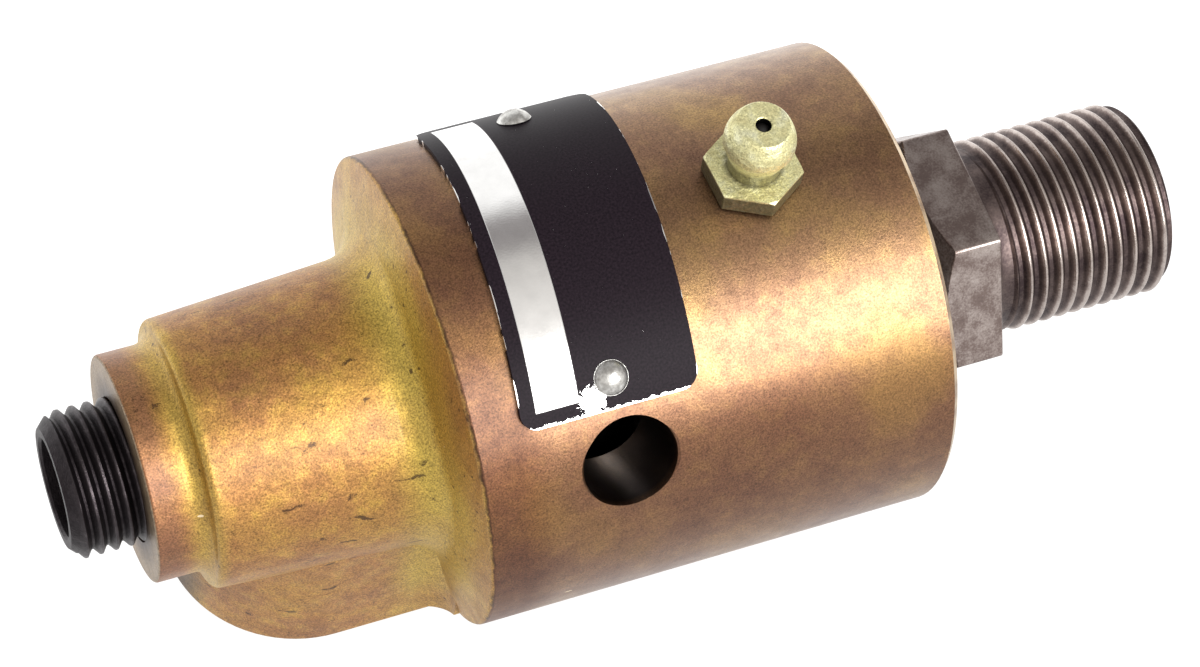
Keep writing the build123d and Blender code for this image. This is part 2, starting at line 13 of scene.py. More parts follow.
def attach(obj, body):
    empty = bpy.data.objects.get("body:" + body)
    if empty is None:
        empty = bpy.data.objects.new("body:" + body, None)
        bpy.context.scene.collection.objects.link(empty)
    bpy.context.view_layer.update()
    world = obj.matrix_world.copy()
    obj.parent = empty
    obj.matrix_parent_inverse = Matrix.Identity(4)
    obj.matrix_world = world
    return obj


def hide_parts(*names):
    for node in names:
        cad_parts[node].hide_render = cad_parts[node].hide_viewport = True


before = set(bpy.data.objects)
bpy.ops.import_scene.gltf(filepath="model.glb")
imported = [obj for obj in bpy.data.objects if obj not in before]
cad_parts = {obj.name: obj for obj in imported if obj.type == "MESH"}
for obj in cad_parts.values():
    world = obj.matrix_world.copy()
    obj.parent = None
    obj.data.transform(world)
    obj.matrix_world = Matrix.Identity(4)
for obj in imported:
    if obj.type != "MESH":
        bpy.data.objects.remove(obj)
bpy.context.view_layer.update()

LOG = logging.getLogger("union")
MM = 0.001
COLUMNS = 144
FLAT_SAMPLES = 20
CORNER_SAMPLES = 4
WELD_DISTANCE = 0.0005 * MM


class Slot(Enum):
    """The record's material slots."""

    BRONZE = "cast_bronze"
    TURNED = "turned_steel"
    PIPE = "black_steel_pipe"
    PLATE = "black_plate"
    BRIGHT = "bright_steel"
    ZINC = "zinc_plated_steel"
    BEARING = "bearing_steel"
    SHEET = "sheet_steel"
    SPRING = "spring_steel"
    RUBBER = "seal_rubber"
    CARBON = "carbon"


# Small tools

def hex_colour(code: str) -> tuple[float, float, float, float]:
    """Turns an sRGB hex value to a linear colour.

    Args:
        code: six hexadecimal digits with a leading number sign.

    Returns:
        Linear red, green, blue and an alpha of one.
    """
    channels = [int(code[start:start + 2], 16) / 255 for start in (1, 3, 5)]
    linear = [value / 12.92 if value <= 0.04045 else ((value + 0.055) / 1.055) ** 2.4 for value in channels]
    return (linear[0], linear[1], linear[2], 1.0)


class Graph:
    """A node tree that is filled one node at a time."""

    def __init__(self, tree: bpy.types.NodeTree) -> None:
        """Keeps the tree.

        Args:
            tree: the shader or geometry node tree to fill.
        """
        self.tree = tree

    def add(self, kind: str, settings: dict, inputs: dict, output: int | str = 0) -> bpy.types.NodeSocket:
        """Adds one node with its settings and links.

        Args:
            kind: Blender's name for the node.
            settings: the node's own options; stops gives a colour ramp's places and hex colours.
            inputs: a constant or another node's socket for each input.
            output: the output socket to hand back.

        Returns:
            The chosen output socket.
        """
        node = self.tree.nodes.new(kind)
        for name, value in settings.items():
            if name != "stops":
                setattr(node, name, value)
                continue
            elements = node.color_ramp.elements
            while len(elements) < len(value):
                elements.new(1.0)
            for element, (place, code) in zip(elements, value):
                element.position = place
                element.color = hex_colour(code)
        for key, value in inputs.items():
            if isinstance(value, bpy.types.NodeSocket):
                self.tree.links.new(value, node.inputs[key])
            else:
                node.inputs[key].default_value = value
        return node.outputs[output] if len(node.outputs) else None


def put_in_scene(mesh: bpy.types.Mesh, name: str) -> bpy.types.Object:
    """Makes an object of a mesh, at the origin.

    Args:
        mesh: the finished mesh, in metres.
        name: the piece's name.

    Returns:
        The new object.
    """
    mesh.name = name
    piece = bpy.data.objects.new(name, mesh)
    bpy.context.scene.collection.objects.link(piece)
    return piece


def bake_modifiers(piece: bpy.types.Object) -> None:
    """Turns an object and its modifiers into one plain mesh.

    Args:
        piece: the object whose modifiers are applied and removed.
    """
    evaluated = piece.evaluated_get(bpy.context.evaluated_depsgraph_get())
    mesh = bpy.data.meshes.new_from_object(evaluated)
    piece.modifiers.clear()
    piece.data = mesh


def shade(mesh: bpy.types.Mesh, sharp_angle: float) -> None:
    """Shades a mesh smooth, apart from edges sharper than an angle.

    Args:
        mesh: the mesh to shade.
        sharp_angle: the angle in degrees past which an edge stays sharp.
    """
    mesh.polygons.foreach_set("use_smooth", [True] * len(mesh.polygons))
    mesh.set_sharp_from_angle(angle=math.radians(sharp_angle))


def weld(mesh: bpy.types.Mesh) -> None:
    """Merges doubles and turns all faces outwards.

    Args:
        mesh: the closed mesh to clean.
    """
    work = bmesh.new()
    work.from_mesh(mesh)
    bmesh.ops.remove_doubles(work, verts=work.verts, dist=WELD_DISTANCE)
    bmesh.ops.recalc_face_normals(work, faces=work.faces)
    work.to_mesh(mesh)
    work.free()


def set_finish(mesh: bpy.types.Mesh, finish: bpy.types.Material) -> None:
    """Gives a whole mesh one material.

    Args:
        mesh: the mesh.
        finish: its only material.
    """
    mesh.materials.clear()
    mesh.materials.append(finish)


def hand_over(piece: bpy.types.Object, node: str, body: str) -> None:
    """Puts a finished piece in place of a CAD node.

    Args:
        piece: the finished piece.
        node: the CAD node that it stands for.
        body: the body that it rides on.
    """
    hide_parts(node)
    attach(piece, body)
    LOG.info("%s: %d faces, on %s", piece.name, len(piece.data.polygons), body)


def run_tree(tree: bpy.types.NodeTree, name: str, values: dict, start: bpy.types.Mesh | None = None) -> bpy.types.Mesh:
    """Runs a geometry node tree and keeps its result as a plain mesh.

    Args:
        tree: the geometry node tree.
        name: a name for the mesh.
        values: a value for each named input.
        start: the mesh that the tree starts from, if it needs one.

    Returns:
        The plain mesh.
    """
    holder = put_in_scene(start or bpy.data.meshes.new(name), name + "_holder")
    modifier = holder.modifiers.new("tree", "NODES")
    modifier.node_group = tree
    sockets = {item.name: item.identifier for item in tree.interface.items_tree}
    for key, value in values.items():
        modifier[sockets[key]] = value
    bake_modifiers(holder)
    mesh = holder.data
    bpy.data.objects.remove(holder)
    return mesh


# Turned and hexagonal forms

@dataclass(frozen=True)
class HexagonSection:
    """Cross-section of a hexagonal bar with slightly rounded corners."""

    across_flats: float
    corner_round: float
    turn: float

    def outline(self) -> tuple[numpy.ndarray, numpy.ndarray]:
        """Works out the section, with extra points at the corners.

        Returns:
            The angles and the radii of one ring.
        """
        half = self.across_flats / 2
        centre = (half - self.corner_round) / math.cos(math.radians(30))
        edge = math.atan2(self.corner_round * 0.5, centre + self.corner_round * math.cos(math.radians(30)))
        corner = numpy.linspace(-edge, edge, CORNER_SAMPLES, endpoint=False)
        flat = numpy.linspace(edge, math.radians(60) - edge, FLAT_SAMPLES, endpoint=False)
        side = numpy.concatenate([corner, flat])
        arc = centre * numpy.cos(side) + numpy.sqrt(
            numpy.maximum(self.corner_round**2 - (centre * numpy.sin(side)) ** 2, 0)
        )
        straight = half / numpy.cos(side - math.radians(30))
        radii = numpy.where(side < edge, arc, straight)
        angles = numpy.concatenate([side + math.radians(60 * index) for index in range(6)])
        return angles + math.radians(self.turn), numpy.tile(radii, 6)


class TurnedForm:
    """A form made of rings along an axis, round or hexagonal."""

    def __init__(self) -> None:
        """Starts without rings."""
        self.rings: list[numpy.ndarray] = []

    def ring(self, station: float, radius: float) -> None:
        """Adds a round ring.

        Args:
            station: place along the axis, in millimetres.
            radius: radius in millimetres.
        """
        angles = numpy.linspace(0, 2 * math.pi, COLUMNS, endpoint=False)
        self.add_ring(station, angles, numpy.full(COLUMNS, radius))

    def rings_along(self, points: list[tuple[float, float]]) -> None:
        """Adds a round ring for each station and radius.

        Args:
            points: stations and radii in millimetres.
        """
        for station, radius in points:
            self.ring(station, radius)

    def hexagon(self, station: float, section: HexagonSection, limit: float) -> None:
        """Adds a ring of a hexagonal section, cut off at a radius.

        Args:
            station: place along the axis, in millimetres.
            section: the hexagon.
            limit: the largest radius that the turned chamfer leaves.
        """
        angles, radii = section.outline()
        self.add_ring(station, angles, numpy.minimum(radii, limit))

    def chamfered_hexagon(self, section: HexagonSection, near: tuple[float, float], far: tuple[float, float]) -> None:
        """Adds the rings where a turned cone cuts a hexagon.

        Args:
            section: the hexagon.
            near: station and radius where the cone starts on the face.
            far: station and radius where it leaves the corners.
        """
        steps = 22
        for step in range(1, steps + 1):
            share = step / steps
            station = near[0] + (far[0] - near[0]) * share
            self.hexagon(station, section, near[1] + (far[1] - near[1]) * share)

    def add_ring(self, station: float, angles: numpy.ndarray, radii: numpy.ndarray) -> None:
        """Keeps the points of one ring about the X axis."""
        points = numpy.stack([numpy.full(COLUMNS, station), radii * numpy.cos(angles), radii * numpy.sin(angles)], 1)
        self.rings.append(points * MM)

    def mesh(self, sharp_angle: float, closed: bool = True) -> bpy.types.Mesh:
        """Joins the rings with faces.

        Args:
            sharp_angle: the angle in degrees past which an edge stays sharp.
            closed: whether the last ring meets the first one.

        Returns:
            The mesh, shaded and clean.
        """
        count = len(self.rings)
        faces = []
        for row in range(count if closed else count - 1):
            low, high = row * COLUMNS, (row + 1) % count * COLUMNS
            for column in range(COLUMNS):
                after = (column + 1) % COLUMNS
                faces.append((low + column, low + after, high + after, high + column))
        mesh = bpy.data.meshes.new("turned")
        mesh.from_pydata(numpy.concatenate(self.rings).tolist(), [], faces)
        weld(mesh)
        shade(mesh, sharp_angle)
        return mesh


def arc_points(centre: tuple[float, float], radius: float, start: float, end: float, steps: int) -> list:
    """Gives points along an arc in the plane of station and radius.

    Args:
        centre: station and radius of the arc's centre.
        radius: the arc's own radius.
        start: first angle in degrees, from the axis direction.
        end: last angle in degrees.
        steps: number of points less one.

    Returns:
        A list of stations and radii.
    """
    turns = [math.radians(start + (end - start) * step / steps) for step in range(steps + 1)]
    return [(centre[0] + radius * math.cos(turn), centre[1] + radius * math.sin(turn)) for turn in turns]


def upright_at(station: float) -> Matrix:
    """Gives the turn that stands a form made along X up along Z, at a station."""
    return Matrix.Translation((station * MM, 0, 0)) @ Matrix.Rotation(math.radians(-90), 4, "Y")


# Threads, wound by geometry nodes

@dataclass(frozen=True)
class Thread:
    """A helical screw thread between two stations, drawn by a geometry node tree."""

    start: float
    end: float
    crest_radius: float
    root_radius: float
    pitch: float
    crest_flat: float
    root_flat: float
    phase: float = 0.0
    start_depth: float = 0.0
    rows_per_pitch: int = 20

    def tree(self) -> bpy.types.NodeTree:
        """Builds the tree: a grid wound round the X axis whose rows follow the helix.

        Returns:
            The geometry node tree, with a named input for each size.
        """
        tree = bpy.data.node_groups.new("helical_thread", "GeometryNodeTree")
        graph = Graph(tree)
        for name in ("Start", "End", "Crest radius", "Root radius", "Pitch", "Crest flat", "Root flat", "Phase",
                     "Start radius"):
            tree.interface.new_socket(name, in_out="INPUT", socket_type="NodeSocketFloat")
        for name in ("Rows", "Columns"):
            tree.interface.new_socket(name, in_out="INPUT", socket_type="NodeSocketInt")
        tree.interface.new_socket("Material", in_out="INPUT", socket_type="NodeSocketMaterial")
        tree.interface.new_socket("Mesh", in_out="OUTPUT", socket_type="NodeSocketGeometry")
        given = graph.add("NodeGroupInput", {}, {}).node.outputs
        grid = graph.add("GeometryNodeMeshGrid", {}, {
            "Size X": 1.0, "Size Y": 1.0, "Vertices X": given["Rows"], "Vertices Y": given["Columns"],
        })
        place = graph.add("ShaderNodeSeparateXYZ", {}, {0: graph.add("GeometryNodeInputPosition", {}, {})}).node
        along = graph.add("ShaderNodeMath", {"operation": "ADD"}, {0: place.outputs[0], 1: 0.5})
        turn = graph.add("ShaderNodeMath", {"operation": "ADD"}, {0: place.outputs[1], 1: 0.5})
        length = graph.add("ShaderNodeMath", {"operation": "SUBTRACT"}, {0: given["End"], 1: given["Start"]})
        pitches = graph.add("ShaderNodeMath", {"operation": "DIVIDE"}, {0: length, 1: given["Pitch"]})
        wound = graph.add("ShaderNodeMath", {"operation": "ADD"}, {0: pitches, 1: 1.0})
        travel = graph.add("ShaderNodeMath", {"operation": "MULTIPLY"}, {0: along, 1: wound})
        ahead = graph.add("ShaderNodeMath", {"operation": "ADD"}, {0: travel, 1: turn})
        behind = graph.add("ShaderNodeMath", {"operation": "SUBTRACT"}, {0: ahead, 1: 1.0})
        station = graph.add("ShaderNodeMath", {"operation": "MULTIPLY_ADD"}, {
            0: behind, 1: given["Pitch"], 2: given["Start"],
        })
        station = graph.add("ShaderNodeClamp", {}, {0: station, 1: given["Start"], 2: given["End"]})
        shifted = graph.add("ShaderNodeMath", {"operation": "ADD"}, {0: travel, 1: given["Phase"]})
        wave = graph.add("ShaderNodeMath", {"operation": "PINGPONG"}, {0: shifted, 1: 0.5})
        half_crest = graph.add("ShaderNodeMath", {"operation": "MULTIPLY"}, {0: given["Crest flat"], 1: 0.5})
        half_root = graph.add("ShaderNodeMath", {"operation": "MULTIPLY_ADD"}, {0: given["Root flat"], 1: -0.5, 2: 0.5})
        profile = graph.add("ShaderNodeMapRange", {}, {
            0: wave, 1: half_crest, 2: half_root, 3: given["Crest radius"], 4: given["Root radius"],
        })
        from_start = graph.add("ShaderNodeMath", {"operation": "SUBTRACT"}, {0: station, 1: given["Start"]})
        from_end = graph.add("ShaderNodeMath", {"operation": "SUBTRACT"}, {0: given["End"], 1: station})
        start_limit = graph.add("ShaderNodeMath", {"operation": "ADD"}, {0: from_start, 1: given["Start radius"]})
        end_limit = graph.add("ShaderNodeMath", {"operation": "ADD"}, {0: from_end, 1: given["Root radius"]})
        radius = graph.add("ShaderNodeMath", {"operation": "MINIMUM"}, {0: profile, 1: start_limit})
        radius = graph.add("ShaderNodeMath", {"operation": "MINIMUM"}, {0: radius, 1: end_limit})
        angle = graph.add("ShaderNodeMath", {"operation": "MULTIPLY"}, {0: turn, 1: 2 * math.pi})
        across = graph.add("ShaderNodeMath", {"operation": "COSINE"}, {0: angle})
        upward = graph.add("ShaderNodeMath", {"operation": "SINE"}, {0: angle})
        side_y = graph.add("ShaderNodeMath", {"operation": "MULTIPLY"}, {0: radius, 1: across})
        side_z = graph.add("ShaderNodeMath", {"operation": "MULTIPLY"}, {0: radius, 1: upward})
        position = graph.add("ShaderNodeCombineXYZ", {}, {0: station, 1: side_y, 2: side_z})
        shape = graph.add("GeometryNodeSetPosition", {}, {"Geometry": grid, "Position": position})
        shape = graph.add("GeometryNodeMergeByDistance", {}, {"Geometry": shape, "Distance": WELD_DISTANCE})
        shape = graph.add("GeometryNodeRealizeInstances", {}, {"Geometry": shape})
        shape = graph.add("GeometryNodeSetMaterial", {}, {"Geometry": shape, "Material": given["Material"]})
        graph.add("NodeGroupOutput", {}, {"Mesh": shape})
        return tree

    def mesh(self, finish: bpy.types.Material) -> bpy.types.Mesh:
        """Winds the thread.

        Args:
            finish: the material that the tree sets.

        Returns:
            The thread's surface, open at both ends.
        """
        rows = round(((self.end - self.start) / self.pitch + 1) * self.rows_per_pitch) + 1
        return run_tree(self.tree(), "thread", {
            "Start": self.start * MM, "End": self.end * MM, "Crest radius": self.crest_radius * MM,
            "Root radius": self.root_radius * MM, "Pitch": self.pitch * MM, "Crest flat": self.crest_flat,
            "Root flat": self.root_flat, "Phase": self.phase,
            "Start radius": (self.root_radius - self.start_depth) * MM,
            "Rows": rows, "Columns": COLUMNS + 1, "Material": finish,
        })


def join_meshes(name: str, meshes: list[bpy.types.Mesh], sharp_angle: float) -> bpy.types.Object:
    """Joins meshes that share their rims into one closed piece.

    Args:
        name: the piece's name.
        meshes: the meshes to join.
        sharp_angle: the angle in degrees past which an edge stays sharp.

    Returns:
        The joined piece.
    """
    work = bmesh.new()
    for mesh in meshes:
        work.from_mesh(mesh)
    joined = bpy.data.meshes.new(name)
    work.to_mesh(joined)
    work.free()
    weld(joined)
    shade(joined, sharp_angle)
    return put_in_scene(joined, name)


# Finishes

@dataclass(frozen=True)
class Finish:
    """A surface finish with the sizes that its pattern takes from the real material."""

    name: str = "finish"

    def material(self) -> bpy.types.Material:
        """Makes the material and fills its tree.

        Returns:
            The finished material.
        """
        made = bpy.data.materials.new(self.name)
        made.use_nodes = True
        made.node_tree.nodes.clear()
        graph = Graph(made.node_tree)
        object_place = graph.add("ShaderNodeTexCoord", {}, {}, "Object")
        place = graph.add("ShaderNodeVectorMath", {"operation": "SCALE"}, {0: object_place, "Scale": 1 / MM})
        surface = self.surface(graph, place)
        graph.add("ShaderNodeOutputMaterial", {}, {"Surface": surface})
        return made

    def surface(self, graph: Graph, place: bpy.types.NodeSocket) -> bpy.types.NodeSocket:
        """Builds the shader.

        Args:
            graph: the material's tree.
            place: object coordinates in millimetres.

        Returns:
            The shader's output.
        """
        raise NotImplementedError


@dataclass(frozen=True)
class PlainMetal(Finish):
    """A plain metal surface with soft mottling and fine marks, for rings, balls and springs."""

    light: str = "#B9B6B2"
    dark: str = "#7F7A75"
    mottle_size: float = 3.0
    grain_size: float = 0.12
    roughness: float = 0.3
    grain_height: float = 0.004

    def surface(self, graph: Graph, place: bpy.types.NodeSocket) -> bpy.types.NodeSocket:
        """Builds the shader, as Finish.surface says."""
        mottle = graph.add("ShaderNodeTexNoise", {}, {"Vector": place, "Scale": 1 / self.mottle_size, "Detail": 5.0})
        colour = graph.add("ShaderNodeValToRGB", {"stops": [(0.35, self.dark), (0.65, self.light)]}, {0: mottle})
        grain = graph.add("ShaderNodeTexNoise", {}, {"Vector": place, "Scale": 1 / self.grain_size, "Detail": 2.0})
        rough = graph.add("ShaderNodeMapRange", {}, {
            0: mottle, 1: 0.3, 2: 0.7, 3: self.roughness + 0.1, 4: self.roughness - 0.05,
        })
        bump = graph.add("ShaderNodeBump", {}, {"Height": grain, "Distance": self.grain_height * MM, "Strength": 1.0})
        return graph.add("ShaderNodeBsdfPrincipled", {}, {
            "Base Color": colour, "Metallic": 1.0, "Roughness": rough, "Normal": bump,
        })


@dataclass(frozen=True)
class DullSolid(Finish):
    """A dark non-metal such as carbon or rubber."""

    light: str = "#2B2B2D"
    dark: str = "#161617"
    grain_size: float = 0.4
    roughness: float = 0.55

    def surface(self, graph: Graph, place: bpy.types.NodeSocket) -> bpy.types.NodeSocket:
        """Builds the shader, as Finish.surface says."""
        grain = graph.add("ShaderNodeTexNoise", {}, {"Vector": place, "Scale": 1 / self.grain_size, "Detail": 4.0})
        colour = graph.add("ShaderNodeValToRGB", {"stops": [(0.3, self.dark), (0.7, self.light)]}, {0: grain})
        bump = graph.add("ShaderNodeBump", {}, {"Height": grain, "Distance": 0.01 * MM, "Strength": 1.0})
        return graph.add("ShaderNodeBsdfPrincipled", {}, {
            "Base Color": colour, "Roughness": self.roughness, "Normal": bump,
        })


@dataclass(frozen=True)
class AgedBronze(Finish):
    """Leaded bronze: the barrel turned, the rear left as sand cast, both under a brown patina of old oil."""

    name: str = "aged_bronze"
    edge_station: float = -55.35
    edge_lean: float = 0.0332
    ragged_size: float = 0.9
    ragged_depth: float = 0.1
    patch_size: float = 11.0
    mottle_size: float = 1.9
    speckle_size: float = 0.17
    pit_size: float = 0.24
    line_spacing: float = 0.22
    sand_size: float = 0.65
    disc_face: float = -82.8
    plate_rear: float = -50.7
    pad_end: float = -78.3
    rim_station: float = -10.45
    rim_radius: float = 22.0

    def surface(self, graph: Graph, place: bpy.types.NodeSocket) -> bpy.types.NodeSocket:
        """Builds the shader, as Finish.surface says."""
        axes = graph.add("ShaderNodeSeparateXYZ", {}, {0: place}).node.outputs
        round_about = graph.add("ShaderNodeCombineXYZ", {}, {0: 0.0, 1: axes[1], 2: axes[2]})
        radius = graph.add("ShaderNodeVectorMath", {"operation": "LENGTH"}, {0: round_about}, 1)
        from_edge = self.distance_from_edge(graph, place, axes)
        turned = graph.add("ShaderNodeMapRange", {}, {0: from_edge, 1: -0.05, 2: 0.05, 3: 0.0, 4: 1.0})
        patches = graph.add("ShaderNodeTexNoise", {}, {"Vector": place, "Scale": 1 / self.patch_size, "Detail": 4.0})
        mottle = graph.add("ShaderNodeTexNoise", {}, {
            "Vector": place, "Scale": 1 / self.mottle_size, "Detail": 7.0, "Roughness": 0.65,
        })
        speckle = graph.add("ShaderNodeTexNoise", {}, {
            "Vector": place, "Scale": 1 / self.speckle_size, "Detail": 3.0, "Roughness": 0.6,
        })
        behind = graph.add("ShaderNodeMapRange", {"interpolation_type": "SMOOTHSTEP"}, {
            0: axes[0], 1: self.plate_rear + 2.5, 2: self.plate_rear - 1.5, 3: 0.0, 4: 1.0,
        })
        colour = graph.add("ShaderNodeMix", {"data_type": "RGBA"}, {
            "Factor": turned, 6: self.cast_colour(graph, patches, mottle, axes, radius),
            7: self.turned_colour(graph, patches, mottle, behind, axes[1]),
        }, 2)
        darkest = graph.add("ShaderNodeMix", {}, {0: turned, 2: 0.52, 3: 0.56})
        tone = graph.add("ShaderNodeMapRange", {}, {0: speckle, 1: 0.32, 2: 0.68, 3: darkest, 4: 1.34})
        pits = graph.add("ShaderNodeTexNoise", {}, {"Vector": place, "Scale": 1 / self.pit_size, "Detail": 1.0})
        deepest = graph.add("ShaderNodeMix", {}, {0: turned, 2: 0.6, 3: 0.72})
        pitted = graph.add("ShaderNodeMapRange", {}, {0: pits, 1: 0.62, 2: 0.72, 3: 1.0, 4: deepest})
        tone = graph.add("ShaderNodeMath", {"operation": "MULTIPLY"}, {0: tone, 1: pitted})
        colour = graph.add("ShaderNodeMix", {"data_type": "RGBA", "blend_type": "MULTIPLY"}, {
            "Factor": 1.0, 6: colour, 7: tone,
        }, 2)
        colour = self.with_marks(graph, place, axes, radius, from_edge, turned, speckle, colour)
        bump = self.relief(graph, place, axes, turned, speckle)
        rough = graph.add("ShaderNodeMapRange", {}, {0: mottle, 1: 0.3, 2: 0.7, 3: 0.42, 4: 0.33})
        cast_rough = graph.add("ShaderNodeMath", {"operation": "ADD"}, {0: rough, 1: 0.17})
        duller = graph.add("ShaderNodeMath", {"operation": "MULTIPLY_ADD"}, {0: behind, 1: 0.14, 2: rough})
        rough = graph.add("ShaderNodeMix", {}, {0: turned, 2: cast_rough, 3: duller})
        return graph.add("ShaderNodeBsdfPrincipled", {}, {
            "Base Color": colour, "Metallic": 1.0, "Roughness": rough, "Normal": bump,
            "Coat Weight": 0.3, "Coat Roughness": 0.3,
        })

    def distance_from_edge(self, graph: Graph, place: bpy.types.NodeSocket, axes: list) -> bpy.types.NodeSocket:
        """Measures how far a point is in front of the ragged edge where the lathe tool stopped.

        Args:
            graph: the material's tree.
            place: object coordinates in millimetres.
            axes: the same, one by one.

        Returns:
            Millimetres in front of the edge.
        """
        ragged = graph.add("ShaderNodeTexNoise", {}, {"Vector": place, "Scale": 1 / self.ragged_size, "Detail": 5.0})
        wander = graph.add("ShaderNodeMapRange", {}, {
            0: ragged, 1: 0.3, 2: 0.7, 3: -self.ragged_depth, 4: self.ragged_depth,
        })
        leaning = graph.add("ShaderNodeMath", {"operation": "MULTIPLY_ADD"}, {
            0: axes[2], 1: self.edge_lean, 2: axes[0],
        })
        station = graph.add("ShaderNodeMath", {"operation": "ADD"}, {0: leaning, 1: wander})
        return graph.add("ShaderNodeMath", {"operation": "SUBTRACT"}, {0: station, 1: self.edge_station})

    def turned_colour(self, graph: Graph, patches: bpy.types.NodeSocket, mottle: bpy.types.NodeSocket,
                      behind: bpy.types.NodeSocket, side: bpy.types.NodeSocket) -> bpy.types.NodeSocket:
        """Colours the turned barrel: brown with tan and golden clouds, browner behind the plate, and with painted shade
        low down on the near side.

        Args:
            graph: the material's tree.
            patches: large clouds.
            mottle: small clouds.
            behind: one behind the name plate.
            side: the place along Y in millimetres.

        Returns:
            The colour.
        """
        large = graph.add("ShaderNodeValToRGB", {"stops": [
            (0.32, "#74533F"), (0.5, "#8A6A4B"), (0.66, "#AA8B4E"),
        ]}, {0: patches})
        small = graph.add("ShaderNodeValToRGB", {"stops": [
            (0.28, "#6C4E3D"), (0.5, "#88674C"), (0.74, "#A58456"),
        ]}, {0: mottle})
        brown = graph.add("ShaderNodeMix", {"data_type": "RGBA"}, {"Factor": 0.5, 6: large, 7: small}, 2)
        tint = graph.add("ShaderNodeMix", {"data_type": "RGBA"}, {
            "Factor": behind, 6: (1, 1, 1, 1), 7: hex_colour("#DDCFCE"),
        }, 2)
        # Painted shade: the brown darkens low down on the near side
        low_side_shade = graph.add("ShaderNodeMapRange", {"interpolation_type": "SMOOTHSTEP"}, {
            0: side, 1: -11.0, 2: -20.0, 3: 0.0, 4: 1.0,
        })
        tint = graph.add("ShaderNodeMix", {"data_type": "RGBA", "blend_type": "MULTIPLY"}, {
            "Factor": low_side_shade, 6: tint, 7: hex_colour("#E2D4D2"),
        }, 2)
        return graph.add("ShaderNodeMix", {"data_type": "RGBA", "blend_type": "MULTIPLY"}, {
            "Factor": 1.0, 6: brown, 7: tint,
        }, 2)

    def cast_colour(self, graph: Graph, patches: bpy.types.NodeSocket, mottle: bpy.types.NodeSocket,
                    axes: list, radius: bpy.types.NodeSocket) -> bpy.types.NodeSocket:
        """Colours the casting: golden brown, with a painted yellow highlight in the flange fillet and at the disc step,
        darker towards the nipple on the disc face, and painted shade on the pad's end.

        Args:
            graph: the material's tree.
            patches: large clouds.
            mottle: small clouds.
            axes: object coordinates in millimetres, one by one.
            radius: distance from the union's axis.

        Returns:
            The colour.
        """
        large = graph.add("ShaderNodeValToRGB", {"stops": [
            (0.32, "#8A6042"), (0.5, "#A87A47"), (0.66, "#BC9644"),
        ]}, {0: patches})
        small = graph.add("ShaderNodeValToRGB", {"stops": [
            (0.3, "#80563C"), (0.5, "#A97C49"), (0.72, "#C8A34E"),
        ]}, {0: mottle})
        golden = graph.add("ShaderNodeMix", {"data_type": "RGBA"}, {"Factor": 0.5, 6: large, 7: small}, 2)
        # Painted highlight: yellow in the flange fillet and at the disc step
        root_highlight = graph.add("ShaderNodeMapRange", {"interpolation_type": "SMOOTHSTEP"}, {
            0: axes[0], 1: -62.5, 2: -58.2, 3: 0.0, 4: 0.85,
        })
        off_rim = graph.add("ShaderNodeMapRange", {"interpolation_type": "SMOOTHSTEP"}, {
            0: radius, 1: 17.0, 2: 21.5, 3: 1.0, 4: 0.25,
        })
        root_highlight = graph.add("ShaderNodeMath", {"operation": "MULTIPLY"}, {0: root_highlight, 1: off_rim})
        from_step = graph.add("ShaderNodeMath", {"operation": "ADD"}, {0: axes[0], 1: 78.4})
        near_step = graph.add("ShaderNodeMath", {"operation": "ABSOLUTE"}, {0: from_step})
        step_highlight = graph.add("ShaderNodeMapRange", {"interpolation_type": "SMOOTHSTEP"}, {
            0: near_step, 1: 0.4, 2: 2.0, 3: 0.6, 4: 0.0,
        })
        painted_highlight = graph.add("ShaderNodeMath", {"operation": "MAXIMUM"}, {0: root_highlight, 1: step_highlight})
        cloudy = graph.add("ShaderNodeMapRange", {}, {0: patches, 1: 0.3, 2: 0.6, 3: 0.45, 4: 1.1})
        painted_highlight = graph.add("ShaderNodeMath", {"operation": "MULTIPLY", "use_clamp": True}, {0: painted_highlight, 1: cloudy})
        yellow = hex_colour("#C2A850")
        golden = graph.add("ShaderNodeMix", {"data_type": "RGBA"}, {"Factor": painted_highlight, 6: golden, 7: yellow}, 2)
        on_disc = graph.add("ShaderNodeMapRange", {"interpolation_type": "SMOOTHSTEP"}, {
            0: axes[0], 1: -79.6, 2: -81.4, 3: 0.0, 4: 0.8,
        })
        golden = graph.add("ShaderNodeMix", {"data_type": "RGBA"}, {
            "Factor": on_disc, 6: golden, 7: hex_colour("#8A6048"),
        }, 2)
        on_face = graph.add("ShaderNodeMath", {"operation": "LESS_THAN"}, {0: axes[0], 1: self.disc_face})
        # Darker towards the nipple
        out_from_nipple = graph.add("ShaderNodeMapRange", {}, {0: radius, 1: 7.0, 2: 9.5, 3: 0.0, 4: 1.0})
        pale = graph.add("ShaderNodeValToRGB", {"stops": [(0.0, "#4A3A30"), (1.0, "#948068")]}, {0: out_from_nipple})
        golden = graph.add("ShaderNodeMix", {"data_type": "RGBA"}, {"Factor": on_face, 6: golden, 7: pale}, 2)
        # Painted shade: the pad's end face goes dark brown
        past_pad = graph.add("ShaderNodeMapRange", {"interpolation_type": "SMOOTHSTEP"}, {
            0: axes[0], 1: self.pad_end + 1.6, 2: self.pad_end, 3: 0.0, 4: 1.0,
        })
        off_boss = graph.add("ShaderNodeMath", {"operation": "GREATER_THAN"}, {0: radius, 1: 13.2})
        end = graph.add("ShaderNodeMath", {"operation": "MULTIPLY"}, {0: past_pad, 1: off_boss})
        end = graph.add("ShaderNodeMath", {"operation": "MULTIPLY"}, {0: end, 1: 0.85})
        return graph.add("ShaderNodeMix", {"data_type": "RGBA"}, {
            "Factor": end, 6: golden, 7: hex_colour("#43302B"),
        }, 2)

